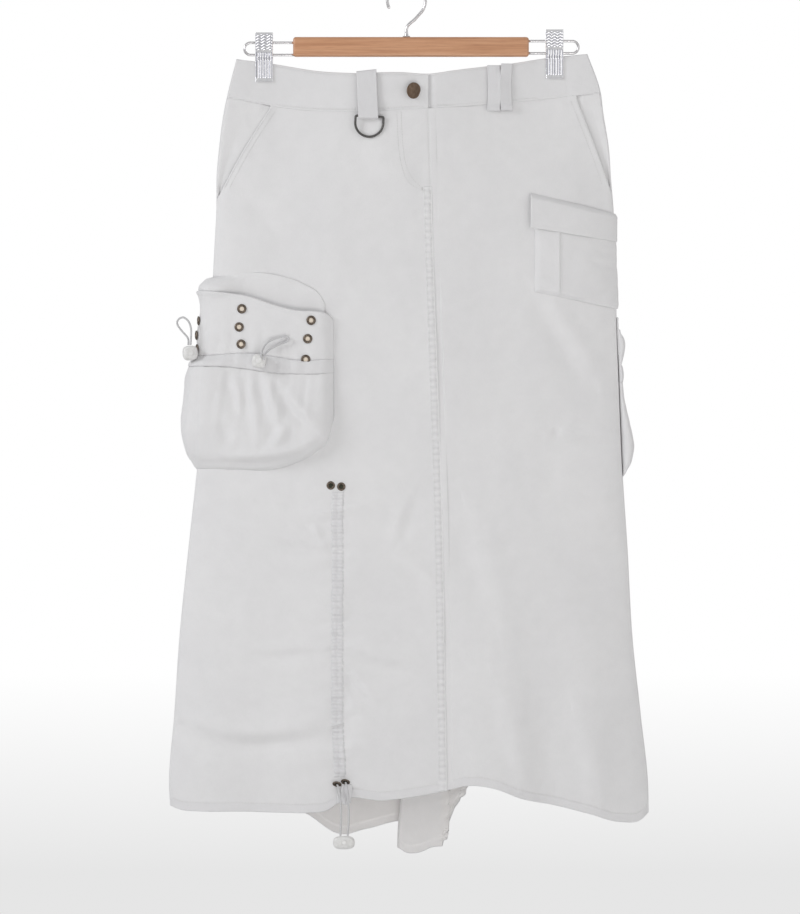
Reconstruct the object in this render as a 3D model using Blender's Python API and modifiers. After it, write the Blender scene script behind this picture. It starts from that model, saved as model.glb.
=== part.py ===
"""A long off-white cargo skirt in cotton twill, hung flat by its waistband from a wooden clip hanger.

Frame: +Z up, the front faces -Y, and the wearer's right side is at -X.
The origin is the point inside the top of the hanger's hook, where it rests on a rail.
Sizes are millimetres, turned into metres by MM. A "drop" is a distance straight down from the origin.
The cloth is a flattened tube: every piece of it is a grid bent over the same walls, then given its thickness.
"""
import math

import bmesh
import bpy
import numpy as np
from mathutils import Matrix, Vector

MM = 0.001
FRONT, BACK = -1, 1          # sign of Y on that wall
RIGHT, LEFT = -1, 1          # the wearer's sides, sign of X

# ---------------------------------------------------------------- cloth
TWILL = 1.2                  # one layer of twill
BAND_CLOTH = 2.0             # the folded waistband
SEAM_GAP = 0.3               # between pieces that meet edge to edge
LAP_GAP = 0.45               # between cloth that lies on cloth
HIP_GAP = (0.8, 2.2)         # between the front and the hip piece under it, at the band and at the foot
BAND_GAP = 0.8               # between the waistband's foot and the panels
TURN_EASE = 0.6              # cloth wrapped round a side edge stands off by this much more there
FULLNESS = 1.8               # roundness of the flattened tube, 2 is an ellipse
SIDE_DEPTH = 1.5             # half the tube's depth at its side edges

# drop, right side edge, left side edge, half depth of the front, half depth of the back
OUTLINE = (
    (81, -192.5, 206.5, 12, 10),
    (125, -203.8, 221.7, 13, 11),
    (148, -208.6, 224.6, 15, 13),
    (188, -213.9, 231.0, 18, 17),
    (226, -217.0, 233.7, 21, 20),
    (260, -217.0, 236.5, 22, 22),
    (296, -218.9, 237.0, 23, 23),
    (336, -221.0, 238.7, 24, 24),
    (404, -225.2, 240.5, 25, 26),
    (458, -229.7, 242.6, 26, 27),
    (556, -239.2, 246.6, 28, 30),
    (647, -249.1, 252.5, 31, 33),
    (749, -259.4, 258.2, 34, 37),
    (834, -265.0, 267.3, 36, 40),
    (918, -271.0, 276.0, 38, 42),
    (945, -269.5, 276.5, 38, 42),
)
# x, drop
WAIST_EDGE = (
    (-193.2, 87.3), (-151.5, 93.0), (-97.8, 101.5), (-63.3, 103.5), (-7.4, 102.6), (24.5, 104.4),
    (55.3, 100.3), (89.5, 96.1), (113.4, 93.5), (159.0, 86.3), (206.9, 81.5),
)
BAND_SEAM = (
    (-204.0, 131.6), (-176.0, 136.3), (-148.8, 141.8), (-96.3, 147.2), (-50.0, 147.4), (-7.4, 145.4),
    (55.3, 142.2), (124.8, 136.4), (193.2, 129.3), (224.0, 125.8),
)
FRONT_HEM = (
    (-270.0, 939.0), (-258.0, 943.5), (-237.7, 945.1), (-191.0, 945.1), (-139.7, 946.2), (-111.2, 946.2),
    (-88.8, 942.7), (-74.7, 932.5), (-26.2, 932.1), (-7.4, 930.2), (16.5, 926.5), (43.9, 920.9),
    (70.1, 915.4), (102.0, 919.3), (130.5, 930.1), (168.2, 937.7), (208.1, 947.8), (244.5, 957.4),
    (267.3, 954.9), (277.0, 946.2),
)
# drop, x: the fly's upper edge, and below it the centre front seam
CENTRE_SEAM = (
    (103.0, 24.5), (169.9, 26.8), (224.6, 28.4), (271.3, 29.6), (442.3, 35.3), (613.3, 41.0),
    (784.3, 43.9), (909.7, 45.9),
)
# drop, x: the mouths of the two slanted hip pockets
RIGHT_MOUTH = ((142.5, -155.6), (191.5, -186.4), (248.0, -216.8))
LEFT_MOUTH = ((132.2, 194.4), (206.3, 222.9), (239.5, 234.2))

# soft vertical folds: wall, x at the hem, x at the top, top drop, half width, height at the hem
FOLDS = (
    (FRONT, -226, -222, 600, 34, 4.0),
    (FRONT, -160, -150, 640, 34, -3.0),
    (FRONT, 108, 78, 560, 38, 5.0),
    (FRONT, 162, 150, 640, 32, -4.0),
    (FRONT, 214, 196, 620, 32, 5.0),
    (BACK, -196, -180, 480, 40, 7.0),
    (BACK, -134, -120, 560, 34, -4.0),
    (BACK, 150, 130, 560, 34, -4.0),
    (BACK, 214, 196, 600, 36, 6.0),
)
FOLD_FOOT = 930              # drop where the folds reach their full height

# ---------------------------------------------------------------- grid of the panels
EDGE_STEPS = (1.5, 6.0, 18.0, 42.0)       # columns that follow the turn of a side edge
PANEL_ROWS = 15
MOUTH_ROWS = 3                            # rows down to the foot of the slanted pocket mouths
MOUTH_SHARE = 0.1333                      # their share of the panel's length
INNER_COLUMNS = 8                         # even columns between the turn of the side and the centre seam
SEAM_LAP = 8.0                            # the left front runs this far under the right front
BAND_ROWS = 3
BAND_LAP = 25.0                           # the left band runs this far under the right band

# ---------------------------------------------------------------- the tail of the back panel
# lines of the back panel from right to left:
# share of the unfolded width, x at the hem, drop at the hem, how far forward of the wall at the hem
BACK_LINES_RIGHT = (
    (0.09, -185, 939, 0), (0.18, -140, 941, 0), (0.25, -112, 947, 0), (0.30, -88, 965, 0),
    (0.40, -45, 963, 0), (0.475, -6, 955, 0), (0.515, 16, 955, 0),
)
BACK_LINES_LEFT = (
    (0.625, 8, 993.4, 10.5), (0.645, 21, 991, 11), (0.665, 33, 985.3, 11), (0.685, 43, 984, 11),
    (0.70, 48, 970, 10.5), (0.72, 57, 944, 10), (0.745, 70, 916, 9), (0.80, 110, 907, 4), (0.89, 166, 924, 0.5),
)
TAIL_FOLD = (0.535, 28.0, 35.4)           # share of the width, x of the first fold at the hem, width of the layer between
FOLD_RADII = (3.0, 2.0)                   # the first fold turns back, the second forward again
FOLD_DROPS = ((957, 972), (987, 989))     # hem's drop before and after each fold
FOLD_STEPS = 3
FOLD_LINE = 0.006                         # share of the width between the grid lines of a fold
TAIL_START = 0.56                         # share of the length where the tail's folds begin to grow
TAIL_TURNED = 0.42                        # share of that growth at which the folds have turned over

# ---------------------------------------------------------------- hanger
BAR = (-129.4, 139.7, 62.1, 84.7, 12.0)   # ends in x, top and foot drop, thickness
WIRE_RADIUS = 1.5
WIRE_SPACING = 14.0
WIRE_LOOPS = {RIGHT: (-184.9, 68.5), LEFT: (196.3, 66.6)}      # far end in x, drop of the upper run
CLIPS = {RIGHT: (-162.5, 57.0, 112.9), LEFT: (169.0, 53.6, 109.4)}   # middle in x, top drop, foot drop
CLIP_WIDTH = 20.0
GRIP = 2.15                  # half depth of the waistband between the jaws
JAW_THICKNESS = 1.4
JAW_OPEN = 4.2               # half the space between the jaws above the cloth
GRIP_MARGIN = 2.0            # the band stays flat this far past a clip
GRIP_FADE = 147.0            # drop over which the pinched band opens into the tube
CORNER_SWELL = 0.8           # the band's corners beyond the clips stand this much thicker
BOW_POWER = 1.4
HOOK_RADIUS = 1.75
HOOK_BEND = 21.75            # radius of the hook's wire centre

# ---------------------------------------------------------------- hardware
BUTTON = (7.4, 123.8, 8.5)   # x, drop, radius
TAB_LOOP = (-43.6, 22.8, 104.5, 153.4)    # middle in x, width, top drop, drop of the ring's bar
BELT_LOOPS = {
    "belt_loop_front_left_inner": (FRONT, 99.1, 14.6, 95.5, 143.0),
    "belt_loop_front_left_outer": (FRONT, 115.4, 12.8, 94.5, 142.0),
    "belt_loop_back": (BACK, 7.0, 16.0, 105.0, 149.0),
}
LOOP_BOW = 6.6               # a belt loop stands this far off the band
RING_WIRE = 1.35             # radius of the D-ring's wire
RING_WIDTH = 34.6            # outer width of the D-ring
RING_HEIGHT = 26.0           # from its bar's top to its foot
RING_ASIDE = 1.6             # the ring hangs this far to the left of its loop's middle
EYELET = (5.4, 2.9, 0.9)     # outer radius, hole radius, height
EYELET_STAND = 0.6
CORD_RADIUS = 1.15

# ---------------------------------------------------------------- pockets
# flap pocket round the left side seam: x, drop of its top edge and of its foot
FLAP_EDGE = ((140.8, 240.5, 280.4), (190.0, 252.0, 288.4), (240.0, 264.6, 296.4))
FLAP_BODY = ((145.9, 252.0, 353.4), (185.2, 262.0, 361.4), (240.0, 276.0, 372.8))
FLAP_WRAP = 22.0             # the pocket goes this far round onto the back
PLEAT_X = 175.0              # the body's vertical pleat
PLEAT_STEP = 1.3
BODY_STAND = 4.0             # how far the body's cloth stands off on the front
BODY_SIDE_STAND = 2.0        # and at the side edge
FLAP_OVER = 2.0              # the flap lies this far over the body

# drawstring pouches: the drop of mouth, casing and foot, the depth on the flat and the silhouette at the side
POUCH_ATTACH = 2.0           # the pouch's edge stands off by this much
OVER_BACKING = 3.4           # and by this much where it lies on its backing, at the side edge
POUCH_ROUND = 18.0           # width of the rounded gusset along its edges
POUCH_FLAT = ((330, 10.5), (400, 11.0), (425, 10.0), (446, 10.0), (480, 16.0), (525, 16.0), (556, 10.0))
SIDE_POUCH = {
    "hand": RIGHT, "front_end": -82.1, "back_end": -190.0,
    # drop, how far the pouch stands out of the side edge
    "side": ((340, 18.8), (347, 18.8), (364, 12.9), (388, 11.5), (406, 11.9), (425, 9.8), (434, 16.0), (446, 20.0),
             (463, 22.0), (486, 22.4), (515, 20.8), (528, 17.0), (540, 12.0), (548, 8.0), (556, 4.0)),
    # x, drop of the upper edge, of the casing's top and foot, and of the pouch's foot
    "edge": ((-240.0, 351.0, 426.5, 438.0, 555.0), (-214.0, 353.5, 425.0, 438.0, 555.5),
             (-183.3, 358.0, 423.0, 441.0, 556.0), (-148.8, 369.0, 427.0, 446.0, 556.0),
             (-123.7, 374.8, 431.0, 447.0, 548.5), (-99.8, 376.0, 431.0, 447.0, 534.5),
             (-87.2, 380.0, 430.0, 446.0, 519.3), (-82.1, 386.0, 430.0, 446.0, 496.0)),
}
BACK_POUCH = {
    "hand": LEFT, "front_end": None, "back_end": 44.0,
    "side": ((380, 3.4), (400, 4.0), (404, 6.5), (425, 7.0), (437, 4.0), (458, 4.0), (474, 5.0), (490, 8.5),
             (518, 13.5), (534, 14.5), (550, 10.0), (563, 4.0)),
    "edge": ((44.0, 404.0, 440.0, 456.0, 506.0), (54.0, 398.0, 440.0, 456.0, 530.0),
             (68.0, 392.0, 438.0, 457.0, 546.0), (96.0, 388.0, 437.0, 458.0, 562.0),
             (150.0, 386.0, 436.0, 458.0, 566.0), (205.0, 390.0, 436.0, 457.0, 566.0),
             (250.0, 397.0, 437.0, 456.0, 563.0)),
}
GATHER = 2.2                 # half height of the gathers under the casing
CASING_SWELL = 2.4
CASING_SEAM = 0.7            # the casing's edges and its neighbours' meet at an angle

# x, drop of the backing's arched top, from near the side inwards
SIDE_ARCH = ((-186.0, 331.8), (-168.0, 331.2), (-141.0, 335.5), (-114.0, 345.5), (-99.0, 356.0), (-93.0, 366.0))
BACK_ARCH = ((214.0, 380.0), (190.0, 371.0), (160.0, 363.0), (130.0, 361.0), (100.0, 364.0), (76.0, 372.0),
             (60.0, 384.0))
SIDE_TOPS = {RIGHT: 336.5, LEFT: 382.0}      # drop of its top at the side edge
BACKING_FOOT = {RIGHT: 395.0, LEFT: 425.0}
# kind, place (x or degrees round the side), drop
SIDE_EYELETS = {
    "front": (("front", -107.7, 386.1), ("front", -111.6, 407.0), ("front", -113.9, 424.0)),
    "middle": (("front", -185.7, 372.8), ("front", -188.7, 393.5), ("front", -186.7, 413.0)),
    "side": (("side", 12, 386.0), ("side", 12, 402.5), ("side", 12, 418.0)),
}
BACK_EYELETS = (("back", 210.0, 402.5), ("back", 210.0, 415.5), ("back", 210.0, 428.5))
# kind, place, drop, how far the cord's middle stands off the pouch
SIDE_LOOP_FRONT = (
    ("front", -168.6, 423.4, 8.4), ("front", -168.4, 415.0, 8.4), ("front", -161.0, 407.5, 7.0),
    ("front", -148.0, 402.5, 5.5), ("front", -137.5, 401.0, 5.0), ("front", -133.2, 405.5, 5.0),
    ("front", -137.0, 410.0, 5.0), ("front", -148.0, 411.5, 5.5), ("front", -160.0, 415.0, 7.0),
    ("front", -165.8, 418.6, 8.4), ("front", -166.2, 423.4, 8.4),
)
SIDE_LOOP_SIDE = (
    ("side", 32, 413.3, 12.4), ("side", 34, 404.0, 12.5), ("side", 20, 394.0, 13.0), ("side", 14, 384.5, 13.5),
    ("side", 24, 377.5, 14.0), ("side", 40, 376.0, 14.5), ("side", 54, 381.0, 14.0), ("side", 58, 391.0, 13.5),
    ("side", 52, 403.0, 12.5), ("side", 40, 413.3, 12.4),
)
BACK_LOOP_INNER = tuple(("back", 100.0 + x, 446.0 + drop, out) for x, drop, out in (
    (1.4, -8.9, 9.0), (4.0, -17.0, 8.6), (8.4, -26.0, 7.0), (6.5, -35.0, 6.0), (0.0, -38.0, 6.0),
    (-6.5, -35.0, 6.0), (-8.4, -26.0, 7.0), (-4.0, -17.0, 8.6), (-1.4, -8.9, 9.0)))
BACK_LOOP_OUTER = tuple((kind, at + 84.0, drop, out) for kind, at, drop, out in BACK_LOOP_INNER)

# ruching channel on the right front
CHANNEL = (-78.6, 13.7, 581.4, 905.0)     # middle in x, width, top drop, foot drop
CHANNEL_PUCKERS = 83
PUCKER = 0.9
CHANNEL_EYELETS = ((-86.1, 573.9), (-74.2, 575.2), (-78.8, 913.2), (-69.2, 910.6))   # x, drop


# ================================================================ helpers
def mix(a, b, share):
    return a + (b - a) * share


def smooth(share):
    share = min(1.0, max(0.0, share))
    return share * share * (3 - 2 * share)


def read_curve(table, at):
    """Second column of a table along a smooth curve through its rows."""
    xs = [row[0] for row in table]
    i = min(max(int(np.searchsorted(xs, at)) - 1, 0), len(xs) - 2)
    before, after = max(i - 1, 0), min(i + 2, len(xs) - 1)
    (x0, y0), (x1, y1) = table[i][:2], table[i + 1][:2]
    slope_0 = (y1 - table[before][1]) / (x1 - table[before][0])
    slope_1 = (table[after][1] - y0) / (table[after][0] - x0)
    t = min(1.0, max(0.0, (at - x0) / (x1 - x0)))
    span = x1 - x0
    return ((2 * t ** 3 - 3 * t ** 2 + 1) * y0 + (t ** 3 - 2 * t ** 2 + t) * span * slope_0
            + (3 * t ** 2 - 2 * t ** 3) * y1 + (t ** 3 - t ** 2) * span * slope_1)


def read(table, at, column=1):
    """Value of one column of a table at a place along its first column."""
    return float(np.interp(at, [row[0] for row in table], [row[column] for row in table]))


def clear_scene():
    for item in list(bpy.data.objects):
        bpy.data.objects.remove(item, do_unlink=True)


def material(name, colour, roughness, metallic=0.0):
    made = bpy.data.materials.new(name)
    made.use_nodes = True
    shader = made.node_tree.nodes["Principled BSDF"]
    shader.inputs["Base Color"].default_value = (*colour, 1.0)
    shader.inputs["Roughness"].default_value = roughness
    shader.inputs["Metallic"].default_value = metallic
    return made


def add(name, data, finish, place=None):
    """Put a mesh or a curve in the skirt's collection under its own name."""
    item = bpy.data.objects.new(name, data)
    data.materials.append(finish)
    if place is not None:
        item.matrix_world = place
    bpy.data.collections["denim_skirt"].objects.link(item)
    return item


def thicken(item, thickness):
    wall_of = item.modifiers.new("cloth", "SOLIDIFY")
    wall_of.thickness = thickness * MM
    wall_of.offset = -1.0
    wall_of.use_even_offset = True


def cloth(name, columns, rows, point, finish, thickness=TWILL):
    """A flat grid bent to point(column, row), in mm, then given its thickness inwards.

    Columns run anticlockwise as seen from above, and rows run down.
    """
    mesh = bpy.data.meshes.new(name)
    grid = bmesh.new()
    bmesh.ops.create_grid(grid, x_segments=columns, y_segments=rows, size=1.0)
    for vertex in grid.verts:
        column = round((vertex.co.x + 1) / 2 * columns)
        row = round((1 - vertex.co.y) / 2 * rows)
        vertex.co = Vector(point(column, row)) * MM
    grid.to_mesh(mesh)
    grid.free()
    mesh.shade_smooth()
    item = add(name, mesh, finish)
    thicken(item, thickness)
    return item


def turned(name, profile, steps, finish, place):
    """A profile of (radius, height) spun round Z; it runs down its outer side."""
    mesh = bpy.data.meshes.new(name)
    closed = profile[0][0] > 0
    edges = [(i, i + 1) for i in range(len(profile) - 1)]
    if closed:
        edges.append((len(profile) - 1, 0))
    mesh.from_pydata([(r * MM, 0, h * MM) for r, h in profile], edges, [])
    item = add(name, mesh, finish, place)
    spin = item.modifiers.new("turn", "SCREW")
    spin.steps = steps
    spin.render_steps = steps
    spin.use_merge_vertices = True
    spin.merge_threshold = 1e-6
    return item


def tube(name, points, radius, finish, cyclic=False, place=None):
    """A round wire or cord along points in mm."""
    curve = bpy.data.curves.new(name, "CURVE")
    curve.dimensions = "3D"
    curve.bevel_depth = radius * MM
    curve.bevel_resolution = 2
    curve.use_fill_caps = not cyclic
    line = curve.splines.new("POLY")
    line.points.add(len(points) - 1)
    for knot, spot in zip(line.points, points):
        knot.co = (*[value * MM for value in spot], 1.0)
    line.use_cyclic_u = cyclic
    return add(name, curve, finish, place)


def curve_through(route, count):
    """Points along a smooth curve through a route's own points (Catmull-Rom)."""
    knots = [Vector(p) for p in route]
    knots = [knots[0] * 2 - knots[1]] + knots + [knots[-1] * 2 - knots[-2]]
    spans = len(knots) - 3
    points = []
    for k in range(count):
        along = k / (count - 1) * spans
        i = min(int(along), spans - 1)
        t = along - i
        a, b, c, d = knots[i:i + 4]
        points.append(0.5 * (2 * b + (c - a) * t + (2 * a - 5 * b + 4 * c - d) * t ** 2
                             + (3 * b - a - 3 * c + d) * t ** 3))
    return points


def facing(point, normal, spin=0.0):
    """Matrix that stands an object's +Z along a normal at a point in mm."""
    turn = Vector(normal).to_track_quat("Z", "Y").to_matrix().to_4x4()
    return Matrix.Translation(Vector(point) * MM) @ turn @ Matrix.Rotation(spin, 4, "Z")


# ================================================================ the skirt's walls
def side_edge(hand, drop):
    return read(OUTLINE, drop, 1 if hand == RIGHT else 2)


def bow(x):
    """0 at the clips, 1 midway between them."""
    reach = CLIP_WIDTH / 2 + GRIP_MARGIN
    start = CLIPS[RIGHT][0] + reach
    end = CLIPS[LEFT][0] - reach
    share = min(1.0, max(0.0, (x - start) / (end - start)))
    return math.sin(math.pi * share) ** BOW_POWER


def corner(x):
    """0 between the clips, 1 at the waist's corners outside them."""
    reach = CLIP_WIDTH / 2 + GRIP_MARGIN
    outside = max(CLIPS[RIGHT][0] - reach - x, x - CLIPS[LEFT][0] - reach)
    return smooth(outside / 12)


def folds(face, x, drop):
    height = 0.0
    for wall_face, hem_x, top_x, top, width, full in FOLDS:
        if wall_face == face:
            grown = smooth((drop - top) / (FOLD_FOOT - top))
            middle = mix(top_x, hem_x, grown)
            height += full * grown * math.exp(-((x - middle) / width) ** 2)
    return height


def depth(face, x, drop):
    """How far a wall stands from the plane between front and back."""
    right, left = side_edge(RIGHT, drop), side_edge(LEFT, drop)
    full = read(OUTLINE, drop, 3 if face == FRONT else 4)
    across = min(1.0, abs(x - (left + right) / 2) / ((left - right) / 2))
    hanging = SIDE_DEPTH + (full - SIDE_DEPTH) * (1 - across ** FULLNESS) ** (1 / FULLNESS)
    clip_foot = max(CLIPS[RIGHT][2], CLIPS[LEFT][2])
    gripped = GRIP + (full - GRIP) * bow(x) + CORNER_SWELL * corner(x)
    released = smooth((drop - clip_foot) / GRIP_FADE)
    return mix(gripped, hanging, released) + folds(face, x, drop) * (1 - across ** 8)


def wall(face, x, drop, out=0.0):
    """Point on the outer face of the front or the back, moved out along its normal."""
    step = 0.5
    slope = (depth(face, x + step, drop) - depth(face, x - step, drop)) / (2 * step)
    length = math.hypot(slope, 1.0)
    return (x - out * slope / length, face * (depth(face, x, drop) + out / length), -drop)


def turn_of_side(hand, angle, drop, out):
    """Point outside a side edge; +90 degrees faces the front, -90 the back."""
    bend = math.radians(angle)
    out += TURN_EASE
    toward_front = 0.0 if angle == 0 else math.copysign(depth(FRONT, side_edge(hand, drop), drop), angle)
    return (side_edge(hand, drop) + hand * out * math.cos(bend), -toward_front - out * math.sin(bend), -drop)


def row_share(row):
    """Share of a panel's length at a row: one row lies at the foot of the pocket mouths."""
    if row <= MOUTH_ROWS:
        return MOUTH_SHARE * row / MOUTH_ROWS
    return mix(MOUTH_SHARE, 1.0, (row - MOUTH_ROWS) / (PANEL_ROWS - MOUTH_ROWS))


def mouth(hand, drop):
    """Edge of the front panel beside a slanted pocket, or the side seam below it."""
    table = RIGHT_MOUTH if hand == RIGHT else LEFT_MOUTH
    if drop >= table[-1][0]:
        return side_edge(hand, drop)
    return read(table, drop)


# ================================================================ panels
def front_panel(hand):
    """One front: its columns run from the side seam or pocket mouth to the centre seam."""
    turn = len(EDGE_STEPS) + 1
    last = turn + INNER_COLUMNS

    def column_x(column, drop):
        start = mouth(hand, drop)
        seam = read(CENTRE_SEAM, drop)
        if hand == LEFT:
            seam += SEAM_LAP - 1
        if column <= turn:
            step = (0.0, 0.6 if start != side_edge(hand, drop) else 0.0, *EDGE_STEPS)[column]
            return start - hand * step
        return mix(start - hand * EDGE_STEPS[-1], seam, (column - turn) / INNER_COLUMNS)

    def drop_at(column, row):
        top = read_curve(BAND_SEAM, column_x(column, 140)) + BAND_GAP / 2
        hem = read(FRONT_HEM, column_x(column, 940))
        return mix(top, hem, row_share(row))

    def point(column, row):
        # the left front adds two columns that lie under the right front
        under = 0
        if hand == LEFT:
            column = last + 2 - column
            under = max(0, column - last)
            column = min(column, last)
        drop = drop_at(column, row)
        if under:
            beside = (-0.5, -SEAM_LAP)[under - 1]
            top = read_curve(BAND_SEAM, read(CENTRE_SEAM, 140) + beside) + BAND_GAP / 2
            drop = mix(top, read(FRONT_HEM, read(CENTRE_SEAM, 940)), row_share(row))
            return wall(FRONT, read(CENTRE_SEAM, drop) + beside, drop, -TWILL - LAP_GAP)
        x = column_x(column, drop)
        if column == 0 and x == side_edge(hand, drop):
            return (x, -SEAM_GAP / 2, -drop)
        return wall(FRONT, x, drop) if column != 1 or x != side_edge(hand, drop) \
            else (x, -depth(FRONT, x, drop), -drop)

    columns = last if hand == RIGHT else last + 2
    name = "front_right_panel" if hand == RIGHT else "front_left_panel"
    return cloth(name, columns, PANEL_ROWS, point, TWILL_FINISH)


def hip_piece(hand):
    """The cloth that shows inside a slanted pocket, from the side seam to just under the front."""
    shares = ((0.0, 0.0), (0.0, 0.0), (0.2, 0.35), (0.5, 0.85), (0.8, 1.0))    # share of the width, of the step in
    beyond = (5.0, 12.0)                                                       # mm past the mouth
    rows = 5
    foot = (RIGHT_MOUTH if hand == RIGHT else LEFT_MOUTH)[-1][0] - 13

    def point(column, row):
        column = column if hand == RIGHT else 6 - column
        wide = mouth(hand, 135) - side_edge(hand, 135)
        top_x = side_edge(hand, 135) + wide * (shares[column][0] if column < len(shares) else 1.0)
        if column >= len(shares):
            top_x -= hand * beyond[column - len(shares)]
        top = read_curve(BAND_SEAM, top_x) + BAND_GAP / 2
        drop = mix(top, foot, row / rows)
        edge = side_edge(hand, drop)
        width = abs(mouth(hand, drop) - edge)
        under = TWILL + mix(*HIP_GAP, smooth(row / rows))
        if column == 0:
            return (edge, -SEAM_GAP / 2, -drop)
        if column == 1:
            return (edge, -depth(FRONT, edge, drop), -drop)
        if column < len(shares):
            share, inward = shares[column]
            return wall(FRONT, edge - hand * width * share, drop, -under * inward)
        x = edge - hand * (width + beyond[column - len(shares)])
        return wall(FRONT, x, drop, -under)

    return cloth("hip_piece_right" if hand == RIGHT else "hip_piece_left", 6, rows, point, TWILL_FINISH)


def tail_section(growth):
    """The tail's two folds seen from above: steps in x and forward from the first fold's start.

    The cloth first turns over, its radius kept, and then the layer between the folds widens.
    """
    heading = math.pi * smooth(growth / TAIL_TURNED)
    between = mix(2.0, TAIL_FOLD[2], smooth((growth - TAIL_TURNED * 0.8) / (1 - TAIL_TURNED * 0.8)))
    x, forward, places = 0.0, 0.0, [(0.0, 0.0)]
    for fold, radius in enumerate(FOLD_RADII):
        if fold:
            x += between * math.cos(heading)
            forward += between * math.sin(heading)
            places.append((x, forward))
        for k in range(FOLD_STEPS):
            turned_by = heading * (k + 0.5) / FOLD_STEPS
            bend = turned_by if fold == 0 else heading - turned_by
            step = 2 * radius * math.sin(max(heading, 0.6) / FOLD_STEPS / 2)
            x += step * math.cos(bend)
            forward += step * math.sin(bend)
            places.append((x, forward))
    return places


def back_panel():
    """The back in one piece, longer than the front, with a tail that folds forward over itself."""
    fold_count = 2 * (FOLD_STEPS + 1)
    before = len(BACK_LINES_RIGHT)
    turn = len(EDGE_STEPS) + 1
    last = turn * 2 + before + fold_count + len(BACK_LINES_LEFT) + 1
    inset = EDGE_STEPS[-1]

    def straight(across, drop):
        return mix(side_edge(RIGHT, drop) + inset, side_edge(LEFT, drop) - inset, across)

    def on_side(step_column, hand, share):
        step = (0.0, 0.0, *EDGE_STEPS)[step_column]
        top = read_curve(BAND_SEAM, side_edge(hand, 130) - hand * step) + BAND_GAP / 2
        hem = read(FRONT_HEM, side_edge(hand, 940) - hand * step) - min(8.0, step * 0.3)
        drop = mix(top, hem, share)
        edge = side_edge(hand, drop)
        if step_column == 0:
            return (edge, SEAM_GAP / 2, -drop)
        if step_column == 1:
            return (edge, depth(BACK, edge, drop), -drop)
        return wall(BACK, edge - hand * step, drop)

    def point(column, row):
        column = last - column                       # from the right side to the left side, on the back
        share = row_share(row)
        if column <= turn:
            return on_side(column, RIGHT, share)
        if column >= last - turn:
            return on_side(last - column, LEFT, share)
        line = column - turn - 1
        growth = (share - TAIL_START) / (1 - TAIL_START)
        slid = smooth(growth)
        section = tail_section(growth)
        in_fold = before <= line < before + fold_count
        if in_fold:
            k = line - before
            across = TAIL_FOLD[0] + k * FOLD_LINE
            hems = FOLD_DROPS[k // (FOLD_STEPS + 1)]
            hem = mix(*hems, k % (FOLD_STEPS + 1) / FOLD_STEPS)
        else:
            across, hem_x, hem, forward = BACK_LINES_RIGHT[line] if line < before \
                else BACK_LINES_LEFT[line - before - fold_count]
        top = read_curve(BAND_SEAM, straight(across, 140)) + BAND_GAP / 2
        drop = mix(top, hem, share)
        if not in_fold:
            _, y, z = wall(BACK, mix(straight(across, drop), hem_x, slid), drop)
            risen = section[-1][1] / (2 * sum(FOLD_RADII))
            return (mix(straight(across, drop), hem_x, slid), y - forward * min(1.0, risen), z)
        if growth <= 0:
            return wall(BACK, straight(across, drop), drop)
        x = mix(straight(TAIL_FOLD[0], drop), TAIL_FOLD[1], slid) + section[k][0]
        _, y, z = wall(BACK, x, drop)
        return (x, y - section[k][1], z)

    return cloth("back_panel", last, PANEL_ROWS, point, TWILL_FINISH)


# ================================================================ waistband
def waistband(name, face, stations):
    """A stretch of the band; stations are (kind, x, inward) from one end to the other, anticlockwise."""
    def point(column, row):
        kind, at, inward = stations[column]
        hand = RIGHT if at < 0 else LEFT
        inset = abs(at) if kind == "near" else 0.0
        top_x, foot_x = (at if kind == "x" else side_edge(hand, drop) - hand * inset for drop in (85, 130))
        drop = mix(read(WAIST_EDGE, top_x), read_curve(BAND_SEAM, foot_x) - BAND_GAP / 2, row / BAND_ROWS)
        if kind == "x":
            return wall(face, at, drop, -inward)
        edge = side_edge(hand, drop)
        if kind == "seam":
            return (edge, face * SEAM_GAP / 2, -drop)
        if kind == "edge":
            return (edge, face * depth(face, edge, drop), -drop)
        return wall(face, edge - hand * inset, drop)

    return cloth(name, len(stations) - 1, BAND_ROWS, point, TWILL_FINISH, BAND_CLOTH)


def waistbands():
    reach = CLIP_WIDTH / 2 + GRIP_MARGIN
    right_clip = (CLIPS[RIGHT][0] - reach, CLIPS[RIGHT][0] + reach)
    left_clip = (CLIPS[LEFT][0] - reach, CLIPS[LEFT][0] + reach)
    right_side = [("seam", -1, 0), ("edge", -1, 0), ("near", -3, 0), ("x", right_clip[0], 0), ("x", right_clip[1], 0)]
    left_side = [("x", left_clip[0], 0), ("x", left_clip[1], 0), ("near", 3, 0), ("edge", 1, 0), ("seam", 1, 0)]
    fly = read(CENTRE_SEAM, 120)
    lap = BAND_CLOTH + LAP_GAP

    def even(start, end, count):
        return [("x", mix(start, end, k / count), 0) for k in range(1, count)]

    waistband("waistband_front_right", FRONT,
              right_side + even(right_clip[1], fly, 8) + [("x", fly, 0)])
    waistband("waistband_front_left", FRONT,
              [("x", fly - BAND_LAP, lap), ("x", fly - BAND_LAP / 2, lap), ("x", fly + 0.5, lap),
               ("x", fly + 9, 0)] + even(fly + 9, left_clip[0], 6) + left_side)
    waistband("waistband_back", BACK,
              left_side[::-1] + even(left_clip[0], right_clip[1], 14) + right_side[::-1])


# ================================================================ what is sewn on the band
def belt_loop(name, face, middle, width, top, foot):
    """A plain loop, bowed out between its two stitched ends."""
    rows = 8

    def point(column, row):
        column = column if face == FRONT else 1 - column
        share = row / rows
        x = middle + (column - 0.5) * width
        stand = TWILL + LAP_GAP + LOOP_BOW * math.sin(math.pi * share) ** 0.7
        return (x, face * (depth(face, x, mix(top, foot, share)) + stand), -mix(top, foot, share))

    return cloth(name, 1, rows, point, TWILL_FINISH)


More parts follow.
